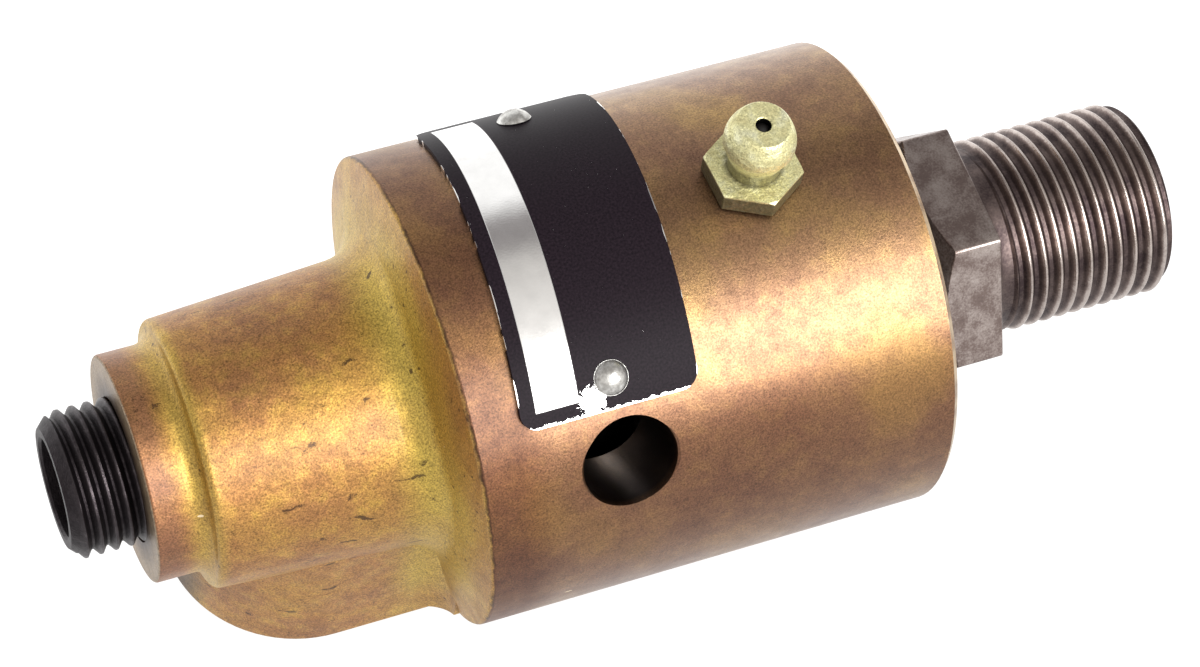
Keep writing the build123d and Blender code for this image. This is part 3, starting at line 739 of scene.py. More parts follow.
    def with_marks(self, graph: Graph, place: bpy.types.NodeSocket, axes: list, radius: bpy.types.NodeSocket,
                   from_edge: bpy.types.NodeSocket, turned: bpy.types.NodeSocket,
                   speckle: bpy.types.NodeSocket, colour: bpy.types.NodeSocket) -> bpy.types.NodeSocket:
        """Adds a painted shadow line at the tool's edge, casting flaws, painted shade inside the barrel, the rubbed
        front rim and small bright nicks.

        Args:
            graph: the material's tree.
            place: object coordinates in millimetres.
            axes: the same, one by one.
            radius: distance from the union's axis.
            from_edge: millimetres in front of the tool's edge.
            turned: one where the lathe has cut.
            speckle: the finest noise.
            colour: the colour so far.

        Returns:
            The colour with the marks.
        """
        # Painted shadow: a dark ragged line along the edge where the lathe tool stopped
        off_line = graph.add("ShaderNodeMath", {"operation": "ABSOLUTE"}, {0: from_edge})
        line = graph.add("ShaderNodeMapRange", {}, {0: off_line, 1: 0.05, 2: 0.2, 3: 0.75, 4: 0.0})
        broken = graph.add("ShaderNodeTexNoise", {}, {"Vector": place, "Scale": 1 / 2.2, "Detail": 4.0})
        patchy = graph.add("ShaderNodeMapRange", {}, {0: broken, 1: 0.42, 2: 0.6, 3: 0.15, 4: 1.0})
        line = graph.add("ShaderNodeMath", {"operation": "MULTIPLY"}, {0: line, 1: patchy})
        wobble = graph.add("ShaderNodeTexNoise", {}, {"Vector": place, "Scale": 1 / 2.4, "Detail": 2.0}, "Color")
        crooked = graph.add("ShaderNodeVectorMath", {"operation": "MULTIPLY_ADD"}, {
            0: wobble, 1: (2.4, 2.4, 2.4), 2: place,
        })
        stretched = graph.add("ShaderNodeMapping", {}, {
            "Vector": crooked, "Rotation": (0.7, 0.35, 0.8), "Scale": (0.065, 0.56, 0.56),
        })
        nearest_flaw = graph.add("ShaderNodeTexVoronoi", {}, {"Vector": stretched, "Scale": 1.0})
        uneven = graph.add("ShaderNodeMapRange", {}, {0: speckle, 1: 0.35, 2: 0.65, 3: 0.05, 4: 0.15})
        flaw = graph.add("ShaderNodeMath", {"operation": "LESS_THAN"}, {0: nearest_flaw, 1: uneven})
        as_cast = graph.add("ShaderNodeMath", {"operation": "SUBTRACT"}, {0: 0.8, 1: turned})
        flaw = graph.add("ShaderNodeMath", {"operation": "MULTIPLY", "use_clamp": True}, {0: flaw, 1: as_cast})
        shadow_and_flaws = graph.add("ShaderNodeMath", {"operation": "MAXIMUM"}, {0: line, 1: flaw})
        # Dark brown for the painted shadow line and for the casting flaws
        colour = graph.add("ShaderNodeMix", {"data_type": "RGBA"}, {
            "Factor": shadow_and_flaws, 6: colour, 7: hex_colour("#35211A"),
        }, 2)
        # Painted shade: the vent hole's wall and the bore go near black
        in_barrel = graph.add("ShaderNodeMath", {"operation": "COMPARE"}, {0: axes[0], 1: -33.0, 2: 20.5})
        below_skin = graph.add("ShaderNodeMapRange", {}, {0: radius, 1: 22.3, 2: 21.4, 3: 0.0, 4: 0.88})
        inside_shade = graph.add("ShaderNodeMath", {"operation": "MULTIPLY"}, {0: in_barrel, 1: below_skin})
        colour = graph.add("ShaderNodeMix", {"data_type": "RGBA"}, {
            "Factor": inside_shade, 6: colour, 7: hex_colour("#21140F"),
        }, 2)
        at_front = graph.add("ShaderNodeMapRange", {}, {
            0: axes[0], 1: self.rim_station - 0.1, 2: self.rim_station, 3: 0.0, 4: 1.0,
        })
        outside = graph.add("ShaderNodeMath", {"operation": "GREATER_THAN"}, {0: radius, 1: self.rim_radius})
        rim = graph.add("ShaderNodeMath", {"operation": "MULTIPLY"}, {0: at_front, 1: outside})
        rubbed = graph.add("ShaderNodeMapRange", {}, {0: broken, 1: 0.35, 2: 0.6, 3: 0.05, 4: 0.55})
        rim = graph.add("ShaderNodeMath", {"operation": "MULTIPLY"}, {0: rim, 1: rubbed})
        longer = graph.add("ShaderNodeMapping", {}, {"Vector": place, "Rotation": (0.5, 0.4, 0.9),
                                                     "Scale": (0.05, 0.16, 0.16)})
        nearest = graph.add("ShaderNodeTexVoronoi", {}, {"Vector": longer, "Scale": 1.0})
        nick = graph.add("ShaderNodeMath", {"operation": "LESS_THAN"}, {0: nearest, 1: 0.022})
        worn = graph.add("ShaderNodeMath", {"operation": "MAXIMUM"}, {0: rim, 1: nick})
        return graph.add("ShaderNodeMix", {"data_type": "RGBA"}, {
            "Factor": worn, 6: colour, 7: hex_colour("#E6D2AE"),
        }, 2)

    def relief(self, graph: Graph, place: bpy.types.NodeSocket, axes: list, turned: bpy.types.NodeSocket,
               speckle: bpy.types.NodeSocket) -> bpy.types.NodeSocket:
        """Gives the barrel fine turning lines and the casting its sand grain and dents.

        Args:
            graph: the material's tree.
            place: object coordinates in millimetres.
            axes: the same, one by one.
            turned: one where the lathe has cut.
            speckle: the finest noise.

        Returns:
            The bumped normal.
        """
        rings = graph.add("ShaderNodeMapping", {}, {
            "Vector": place, "Scale": (1 / self.line_spacing, 0.12, 0.12),
        })
        lines = graph.add("ShaderNodeTexNoise", {}, {"Vector": rings, "Scale": 1.0, "Detail": 3.0})
        normal = graph.add("ShaderNodeBump", {}, {"Height": lines, "Distance": 0.012 * MM, "Strength": turned})
        sand = graph.add("ShaderNodeTexNoise", {}, {
            "Vector": place, "Scale": 1 / self.sand_size, "Detail": 6.0, "Roughness": 0.6,
        })
        dents = graph.add("ShaderNodeTexNoise", {}, {"Vector": place, "Scale": 1 / 4.5, "Detail": 2.0})
        as_cast = graph.add("ShaderNodeMath", {"operation": "SUBTRACT"}, {0: 1.0, 1: turned})
        normal = graph.add("ShaderNodeBump", {}, {
            "Height": sand, "Distance": 0.06 * MM, "Strength": as_cast, "Normal": normal,
        })
        normal = graph.add("ShaderNodeBump", {}, {
            "Height": dents, "Distance": 0.35 * MM, "Strength": as_cast, "Normal": normal,
        })
        return graph.add("ShaderNodeBump", {}, {
            "Height": speckle, "Distance": 0.018 * MM, "Strength": 1.0, "Normal": normal,
        })


@dataclass(frozen=True)
class OiledSteel(Finish):
    """Machined steel under old oil: lighter towards edges and crests, partly rubbed wear and partly painted highlight,
    and darker in the hollows, partly oil and partly painted shade.
    """

    name: str = "oiled_steel"
    light: str = "#B6ABA5"
    middle: str = "#756762"
    dark: str = "#3C3233"
    root: float = 8.88
    crest: float = 9.5
    face: float = 0.05
    face_share: float = 0.78
    roughness: float = 0.3
    mottle_size: float = 2.6
    grain_size: float = 0.2
    grain_height: float = 0.012

    def surface(self, graph: Graph, place: bpy.types.NodeSocket) -> bpy.types.NodeSocket:
        """Builds the shader, as Finish.surface says."""
        axes = graph.add("ShaderNodeSeparateXYZ", {}, {0: place}).node.outputs
        flat = graph.add("ShaderNodeCombineXYZ", {}, {0: 0.0, 1: axes[1], 2: axes[2]})
        radius = graph.add("ShaderNodeVectorMath", {"operation": "LENGTH"}, {0: flat}, 1)
        mottle = graph.add("ShaderNodeTexNoise", {}, {
            "Vector": place, "Scale": 1 / self.mottle_size, "Detail": 7.0, "Roughness": 0.6,
        })
        grain = graph.add("ShaderNodeTexNoise", {}, {"Vector": place, "Scale": 1 / self.grain_size, "Detail": 3.0})
        # Lighter towards the crests, partly rubbed wear and partly painted highlight; darker in the roots, partly oil
        # and partly painted shade
        height = graph.add("ShaderNodeMapRange", {"interpolation_type": "SMOOTHSTEP"}, {
            0: radius, 1: self.root, 2: self.crest, 3: 0.0, 4: 1.0,
        })
        past_face = graph.add("ShaderNodeMath", {"operation": "GREATER_THAN"}, {0: axes[0], 1: self.face})
        share = graph.add("ShaderNodeMapRange", {}, {0: past_face, 1: 0.0, 2: 1.0, 3: self.face_share, 4: 1.0})
        height = graph.add("ShaderNodeMath", {"operation": "MULTIPLY"}, {0: height, 1: share})
        streaks = graph.add("ShaderNodeMapRange", {}, {0: mottle, 1: 0.3, 2: 0.7, 3: -0.26, 4: 0.2})
        fine = graph.add("ShaderNodeMapRange", {}, {0: grain, 1: 0.3, 2: 0.7, 3: -0.12, 4: 0.1})
        sharper = graph.add("ShaderNodeMath", {"operation": "POWER"}, {0: height, 1: 1.6})
        amount = graph.add("ShaderNodeMath", {"operation": "MULTIPLY_ADD"}, {0: sharper, 1: 0.8, 2: streaks})
        amount = graph.add("ShaderNodeMath", {"operation": "ADD"}, {0: amount, 1: 0.2})
        amount = graph.add("ShaderNodeMath", {"operation": "ADD", "use_clamp": True}, {0: amount, 1: fine})
        colour = graph.add("ShaderNodeValToRGB", {"stops": [
            (0.0, self.dark), (0.6, self.middle), (1.0, self.light),
        ]}, {0: amount})
        rough = graph.add("ShaderNodeMapRange", {}, {
            0: amount, 1: 0.0, 2: 1.0, 3: self.roughness + 0.2, 4: self.roughness - 0.04,
        })
        scratches = graph.add("ShaderNodeMapping", {}, {"Vector": place, "Scale": (5.0, 0.4, 0.4)})
        marks = graph.add("ShaderNodeTexNoise", {}, {"Vector": scratches, "Scale": 1.0, "Detail": 3.0})
        bump = graph.add("ShaderNodeBump", {}, {"Height": marks, "Distance": 0.012 * MM, "Strength": 1.0})
        bump = graph.add("ShaderNodeBump", {}, {
            "Height": grain, "Distance": self.grain_height * MM, "Strength": 1.0, "Normal": bump,
        })
        return graph.add("ShaderNodeBsdfPrincipled", {}, {
            "Base Color": colour, "Metallic": 1.0, "Roughness": rough, "Normal": bump,
        })


@dataclass(frozen=True)
class YellowZinc(Finish):
    """Steel plated with zinc and passivated pale yellow-green, with painted shade on the hexagon's sides, under the
    head and in the mouth.
    """

    name: str = "yellow_zinc"
    station: float = -24.55
    hex_top: float = 24.6
    head_low: float = 27.9
    mouth_radius: float = 0.72

    def surface(self, graph: Graph, place: bpy.types.NodeSocket) -> bpy.types.NodeSocket:
        """Builds the shader, as Finish.surface says."""
        axes = graph.add("ShaderNodeSeparateXYZ", {}, {0: place}).node.outputs
        mottle = graph.add("ShaderNodeTexNoise", {}, {"Vector": place, "Scale": 1 / 1.3, "Detail": 6.0})
        grain = graph.add("ShaderNodeTexNoise", {}, {"Vector": place, "Scale": 1 / 0.16, "Detail": 3.0})
        plated = graph.add("ShaderNodeValToRGB", {"stops": [
            (0.3, "#C6BE8E"), (0.5, "#DAD5A2"), (0.7, "#E8E6C0"),
        ]}, {0: mottle})
        tone = graph.add("ShaderNodeMapRange", {}, {0: grain, 1: 0.3, 2: 0.7, 3: 0.66, 4: 1.2})
        plated = graph.add("ShaderNodeMix", {"data_type": "RGBA", "blend_type": "MULTIPLY"}, {
            "Factor": 1.0, 6: plated, 7: tone,
        }, 2)
        aside = graph.add("ShaderNodeMath", {"operation": "SUBTRACT"}, {0: axes[0], 1: self.station})
        across = graph.add("ShaderNodeCombineXYZ", {}, {0: aside, 1: axes[1], 2: 0.0})
        away = graph.add("ShaderNodeVectorMath", {"operation": "LENGTH"}, {0: across}, 1)
        # Painted shadow under the head, round the neck
        below = graph.add("ShaderNodeMapRange", {}, {
            0: axes[2], 1: self.head_low - 0.5, 2: self.head_low, 3: 1.0, 4: 0.0,
        })
        near_neck = graph.add("ShaderNodeMapRange", {}, {0: away, 1: 2.3, 2: 2.9, 3: 0.85, 4: 0.0})
        under_head_shade = graph.add("ShaderNodeMath", {"operation": "MULTIPLY"}, {0: near_neck, 1: below})
        # Painted shade on the hexagon's sides
        side_shade = graph.add("ShaderNodeMapRange", {}, {
            0: axes[2], 1: self.hex_top - 0.1, 2: self.hex_top - 0.3, 3: 0.0, 4: 0.82,
        })
        # Painted shade in the fitting's mouth, near black
        inside = graph.add("ShaderNodeMath", {"operation": "LESS_THAN"}, {0: away, 1: self.mouth_radius})
        painted_shade = graph.add("ShaderNodeMath", {"operation": "MAXIMUM"}, {0: under_head_shade, 1: side_shade})
        colour = graph.add("ShaderNodeMix", {"data_type": "RGBA"}, {
            "Factor": painted_shade, 6: plated, 7: hex_colour("#33291F"),
        }, 2)
        colour = graph.add("ShaderNodeMix", {"data_type": "RGBA"}, {
            "Factor": inside, 6: colour, 7: hex_colour("#0B0908"),
        }, 2)
        bump = graph.add("ShaderNodeBump", {}, {"Height": grain, "Distance": 0.03 * MM, "Strength": 1.0})
        pimples = graph.add("ShaderNodeTexNoise", {}, {"Vector": place, "Scale": 1 / 0.5, "Detail": 3.0})
        bump = graph.add("ShaderNodeBump", {}, {
            "Height": pimples, "Distance": 0.16 * MM, "Strength": 1.0, "Normal": bump,
        })
        rough = graph.add("ShaderNodeMapRange", {}, {0: mottle, 1: 0.3, 2: 0.7, 3: 0.56, 4: 0.4})
        return graph.add("ShaderNodeBsdfPrincipled", {}, {
            "Base Color": colour, "Metallic": 0.84, "Roughness": rough, "Normal": bump,
        })


@dataclass(frozen=True)
class EnamelledPlate(Finish):
    """Etched aluminium name plate: black enamel round a bright blank field, worn at the rim."""

    name: str = "enamelled_plate"
    half_width: float = 8.35
    half_height: float = 19.3
    field_left: float = -6.9
    field_right: float = -2.85
    field_top: float = 17.85
    rim: float = 0.09
    patch_across: float = -1.6
    patch_height: float = -18.0

    def surface(self, graph: Graph, place: bpy.types.NodeSocket) -> bpy.types.NodeSocket:
        """Builds the shader from the plate's own UV map, which is in millimetres."""
        own = graph.add("ShaderNodeUVMap", {"uv_map": "plate"}, {})
        axes = graph.add("ShaderNodeSeparateXYZ", {}, {0: own}).node.outputs
        haze = graph.add("ShaderNodeTexNoise", {}, {"Vector": own, "Scale": 0.6, "Detail": 6.0})
        fine = graph.add("ShaderNodeTexNoise", {}, {"Vector": own, "Scale": 4.5, "Detail": 4.0})
        bare = graph.add("ShaderNodeMath", {"operation": "MAXIMUM"}, {
            0: self.blank_field(graph, axes), 1: self.worn(graph, own, axes),
        })
        enamel = graph.add("ShaderNodeValToRGB", {"stops": [(0.3, "#130E13"), (0.7, "#241C22")]}, {0: fine})
        metal = graph.add("ShaderNodeValToRGB", {"stops": [(0.3, "#E9E8E6"), (0.7, "#F4F3F1")]}, {0: haze})
        colour = graph.add("ShaderNodeMix", {"data_type": "RGBA"}, {"Factor": bare, 6: enamel, 7: metal}, 2)
        rough = graph.add("ShaderNodeMapRange", {}, {0: bare, 1: 0.0, 2: 1.0, 3: 0.42, 4: 0.17})
        step = graph.add("ShaderNodeMath", {"operation": "SUBTRACT"}, {0: 1.0, 1: bare})
        bump = graph.add("ShaderNodeBump", {}, {"Height": step, "Distance": 0.03 * MM, "Strength": 1.0})
        bump = graph.add("ShaderNodeBump", {}, {
            "Height": fine, "Distance": 0.006 * MM, "Strength": 1.0, "Normal": bump,
        })
        return graph.add("ShaderNodeBsdfPrincipled", {}, {
            "Base Color": colour, "Metallic": bare, "Roughness": rough, "Normal": bump,
            "Specular IOR Level": 0.06,
        })

    def blank_field(self, graph: Graph, axes: list) -> bpy.types.NodeSocket:
        """Marks the bright field that runs down the plate.

        Args:
            graph: the material's tree.
            axes: the plate's own map, one by one.

        Returns:
            One inside the field.
        """
        middle = (self.field_left + self.field_right) / 2
        half_field = (self.field_right - self.field_left) / 2
        from_middle = graph.add("ShaderNodeMath", {"operation": "SUBTRACT"}, {0: axes[0], 1: middle})
        across = graph.add("ShaderNodeMath", {"operation": "ABSOLUTE"}, {0: from_middle})
        upward = graph.add("ShaderNodeMath", {"operation": "ABSOLUTE"}, {0: axes[1]})
        in_width = graph.add("ShaderNodeMapRange", {}, {
            0: across, 1: half_field - 0.04, 2: half_field + 0.04, 3: 1.0, 4: 0.0,
        })
        in_height = graph.add("ShaderNodeMapRange", {}, {
            0: upward, 1: self.field_top - 0.04, 2: self.field_top + 0.04, 3: 1.0, 4: 0.0,
        })
        return graph.add("ShaderNodeMath", {"operation": "MULTIPLY"}, {0: in_width, 1: in_height})

    def worn(self, graph: Graph, own: bpy.types.NodeSocket, axes: list) -> bpy.types.NodeSocket:
        """Marks where the enamel has gone: a thin broken line at the rim and scuffs by the lower screw.

        Args:
            graph: the material's tree.
            own: the plate's own map.
            axes: the same, one by one.

        Returns:
            One where the metal is bare.
        """
        upward = graph.add("ShaderNodeMath", {"operation": "ABSOLUTE"}, {0: axes[1]})
        sideways = graph.add("ShaderNodeMath", {"operation": "ABSOLUTE"}, {0: axes[0]})
        chips = graph.add("ShaderNodeTexNoise", {}, {"Vector": own, "Scale": 2.6, "Detail": 6.0, "Roughness": 0.7})
        to_side = graph.add("ShaderNodeMath", {"operation": "SUBTRACT"}, {0: self.half_width, 1: sideways})
        to_end = graph.add("ShaderNodeMath", {"operation": "SUBTRACT"}, {0: self.half_height, 1: upward})
        to_rim = graph.add("ShaderNodeMath", {"operation": "MINIMUM"}, {0: to_side, 1: to_end})
        near_bottom = graph.add("ShaderNodeMapRange", {}, {
            0: axes[1], 1: -self.half_height + 1.2, 2: -self.half_height + 0.4, 3: 0.0, 4: 1.0,
        })
        slow = graph.add("ShaderNodeTexNoise", {}, {"Vector": own, "Scale": 0.35, "Detail": 2.0})
        worn_width = graph.add("ShaderNodeMapRange", {}, {0: slow, 1: 0.42, 2: 0.6, 3: -self.rim, 4: self.rim})
        bottom_width = graph.add("ShaderNodeMapRange", {}, {0: chips, 1: 0.4, 2: 0.7, 3: 0.08, 4: 0.45})
        worn_width = graph.add("ShaderNodeMix", {}, {0: near_bottom, 2: worn_width, 3: bottom_width})
        rim = graph.add("ShaderNodeMath", {"operation": "LESS_THAN"}, {0: to_rim, 1: worn_width})
        spot = (self.patch_across, self.patch_height, 0.0)
        away = graph.add("ShaderNodeVectorMath", {"operation": "DISTANCE"}, {0: own, 1: spot}, 1)
        reach = graph.add("ShaderNodeMapRange", {}, {0: away, 1: 0.7, 2: 1.9, 3: 0.36, 4: 0.7})
        scuff = graph.add("ShaderNodeMath", {"operation": "GREATER_THAN"}, {0: chips, 1: reach})
        dust = graph.add("ShaderNodeMath", {"operation": "GREATER_THAN"}, {0: chips, 1: 0.73})
        scuff = graph.add("ShaderNodeMath", {"operation": "MAXIMUM"}, {0: scuff, 1: dust})
        return graph.add("ShaderNodeMath", {"operation": "MAXIMUM"}, {0: rim, 1: scuff})


# Sub-assemblies

@dataclass
class Rotor:
    """The steel rotor: shaft, hexagon, cove and straight thread, all in one piece."""

    finish: bpy.types.Material
    thread: Thread = Thread(2.4, 19.3, 9.525, 8.85, 1.5875, 0.12, 0.3, 0.433)
    hexagon: HexagonSection = HexagonSection(22.2, 0.35, 1.8)
    hex_length: float = 6.0
    hex_face_radius: float = 10.7
    chamfer_angle: float = 32.0
    front_edge: float = 0.1
    cove: float = 1.6
    bore_radius: float = 4.5
    bore_chamfer: float = 0.6
    shoulder_radius: float = 9.75
    journal_radius: float = 7.49
    spigot_radius: float = 6.2
    groove_depth: float = 0.55

    def build(self) -> None:
        """Makes the rotor in place of the plain one."""
        form = TurnedForm()
        end = self.thread.end
        mouth = self.bore_radius + 1.5 * self.bore_chamfer
        form.rings_along([
            (end, mouth),
            (end - self.bore_chamfer, self.bore_radius),
            (-41.3, self.bore_radius),
            (-41.3, self.spigot_radius),
            (-38.8, self.spigot_radius),
            (-38.8, self.journal_radius),
            (-38.5, self.journal_radius),
            (-38.5, self.journal_radius - self.groove_depth),
            (-37.4, self.journal_radius - self.groove_depth),
            (-37.4, self.journal_radius),
            (-12.3, self.journal_radius),
            (-12.3, self.shoulder_radius),
            (-self.hex_length, self.shoulder_radius),
            (-self.hex_length, self.hex_face_radius),
        ])
        corner = self.hexagon.across_flats / math.sqrt(3)
        run = (corner - self.hex_face_radius) * math.tan(math.radians(self.chamfer_angle))
        form.chamfered_hexagon(
            self.hexagon, (-self.hex_length, self.hex_face_radius), (-self.hex_length + run, corner),
        )
        form.hexagon(-self.front_edge, self.hexagon, corner)
        inner = HexagonSection(self.hexagon.across_flats - 2 * self.front_edge, 0.25, self.hexagon.turn)
        form.hexagon(0.0, inner, corner)
        cove_centre = (self.cove, self.thread.root_radius + self.cove)
        form.rings_along(arc_points(cove_centre, self.cove, 180, 270, 10))
        form.ring(self.thread.start, self.thread.root_radius)
        face = TurnedForm()
        face.rings_along([(end, self.thread.root_radius), (end, mouth)])
        meshes = [form.mesh(32.0, closed=False), self.thread.mesh(self.finish), face.mesh(32.0, closed=False)]
        piece = join_meshes("rotor_dressed", meshes, 38.0)
        set_finish(piece.data, self.finish)
        hand_over(piece, "rotor", "rotor")


@dataclass
class PipeNipple:
    """The black steel nipple, threaded where it stands out of the boss."""

    finish: bpy.types.Material
    thread: Thread = Thread(-89.5, -82.0, 6.85, 6.2, 1.411, 0.16, 0.16, 0.68, 0.55)
    inner_end: float = -71.9
    inner_radius: float = 6.5
    bore_radius: float = 4.62
    lip: float = 0.25

    def build(self) -> None:
        """Makes the nipple in place of the plain one."""
        form = TurnedForm()
        start = self.thread.start
        form.rings_along([
            (self.thread.end, self.thread.root_radius),
            (self.thread.end, self.thread.crest_radius - 0.03),
            (self.inner_end, self.inner_radius),
            (self.inner_end, self.bore_radius),
            (start + self.lip, self.bore_radius),
            (start, self.bore_radius + self.lip),
            (start, self.thread.root_radius - self.thread.start_depth),
        ])
        piece = join_meshes("pipe_nipple_dressed", [form.mesh(32.0, closed=False), self.thread.mesh(self.finish)], 40.0)
        set_finish(piece.data, self.finish)
        hand_over(piece, "pipe_nipple", "housing")


@dataclass
class GreaseFitting:
    """The button-head grease fitting, turned from hexagonal bar and drilled through."""

    finish: bpy.types.Material
    station: float = -24.55
    hexagon: HexagonSection = HexagonSection(7.94, 0.12, 3.0)
    hex_base: float = 22.65
    hex_top: float = 24.6
    hex_chamfer: float = 0.3
    shank_end: float = 18.1
    shank_radius: float = 3.15
    neck_radius: float = 2.45
    neck_top: float = 25.8
    head_low: float = 28.0
    head_radius: float = 3.27
    band_top: float = 28.5
    top: float = 30.8
    top_radius: float = 2.4
    edge: float = 0.13
    mouth_radius: float = 0.7
    channel_top: float = 30.0
    channel_bottom: float = 22.6
    channel_radius: float = 1.3
    feed_radius: float = 0.8

    def crown(self) -> list[tuple[float, float]]:
        """Gives the outline of the head from the band up to its flat top.

        Returns:
            Heights and radii.
        """
        low, high = (self.band_top, self.head_radius), (self.top - self.edge, self.top_radius + self.edge)
        middle = (self.band_top + (self.top - self.band_top) * 0.38, self.head_radius)
        points = []
        for step in range(1, 13):
            share = step / 12
            weights = ((1 - share) ** 2, 2 * share * (1 - share), share**2)
            points.append(tuple(
                weights[0] * low[axis] + weights[1] * middle[axis] + weights[2] * high[axis] for axis in (0, 1)
            ))
        return points

    def build(self) -> None:
        """Makes the fitting in place of the plain one."""
        form = TurnedForm()
        corner = self.hexagon.across_flats / math.sqrt(3)
        form.rings_along([
            (self.shank_end, self.feed_radius),
            (self.shank_end, self.shank_radius),
            (self.hex_base, self.shank_radius),
        ])
        form.hexagon(self.hex_base, self.hexagon, corner)
        inside = self.hexagon.across_flats / 2 + 0.33
        run = (corner - inside) * math.tan(math.radians(30))
        form.chamfered_hexagon(self.hexagon, (self.hex_top - run, corner), (self.hex_top, inside))
        form.rings_along([
            (self.hex_top, self.neck_radius),
            (self.neck_top, self.neck_radius),
            (self.head_low - 0.1, self.head_radius - 0.05),
            (self.head_low, self.head_radius),
            (self.band_top, self.head_radius),
        ])
        form.rings_along(self.crown())
        form.rings_along([
            (self.top, self.top_radius),
            (self.top, self.mouth_radius + self.edge),
            (self.top - self.edge, self.mouth_radius),
            (self.channel_top, self.mouth_radius),
            (self.channel_top, self.channel_radius),
            (self.channel_bottom, self.channel_radius),
            (self.channel_bottom, self.feed_radius),
        ])
        mesh = form.mesh(28.0)
        mesh.transform(upright_at(self.station))
        set_finish(mesh, self.finish)
        hand_over(put_in_scene(mesh, "grease_fitting_dressed"), "grease_fitting_body", "housing")


@dataclass
class NamePlate:
    """The thin curved name plate, bare of any words, with its own UV map in millimetres."""

    finish: bpy.types.Material
    radius: float = 22.52
    thickness: float = 0.5
    width: float = 16.7
    arc: float = 96.0
    centre_angle: float = 4.4
    station: float = -42.35
    skew: float = 3.2
    corner: float = 1.6
    columns: int = 40
    rows: int = 120

    def build(self) -> None:
        """Makes the plate in place of the plain one."""
        outer = self.radius + self.thickness
        half_height = math.radians(self.arc / 2) * outer
        half_width = self.width / 2
        heights = half_height * numpy.sin(numpy.linspace(-math.pi / 2, math.pi / 2, self.rows + 1))
        vertices = []
        places = []
        for height in heights:
            beyond = max(abs(height) - (half_height - self.corner), 0.0)
            reach = half_width - self.corner + math.sqrt(max(self.corner**2 - beyond**2, 0.0))
            for column in range(self.columns + 1):
                across = reach * math.sin((column / self.columns - 0.5) * math.pi)
                angle = height / outer
                local_side = outer * math.sin(angle)
                turn = math.radians(self.centre_angle) + angle
                station = self.station + across + local_side * math.tan(math.radians(self.skew))
                vertices.append((station * MM, outer * math.sin(turn) * MM, outer * math.cos(turn) * MM))
                places.append((across, height))
        faces = []
        wide = self.columns + 1
        for row in range(self.rows):
            for column in range(self.columns):
                first = row * wide + column
                faces.append((first, first + 1, first + wide + 1, first + wide))
        mesh = bpy.data.meshes.new("plate")
        mesh.from_pydata(vertices, [], faces)
        layer = mesh.uv_layers.new(name="plate")
        for loop in mesh.loops:
            layer.data[loop.index].uv = places[loop.vertex_index]
        piece = put_in_scene(mesh, "name_plate_dressed")
        if mesh.polygons[len(mesh.polygons) // 2].normal.z < 0:
            mesh.flip_normals()
        wall = piece.modifiers.new("wall", "SOLIDIFY")
        wall.thickness = self.thickness * MM
        wall.offset = -1
        rim = piece.modifiers.new("rim", "BEVEL")
        rim.width = 0.08 * MM
        rim.segments = 2
        rim.angle_limit = math.radians(50)
        bake_modifiers(piece)
        shade(piece.data, 40)
        set_finish(piece.data, self.finish)
        hand_over(piece, "name_plate", "housing")


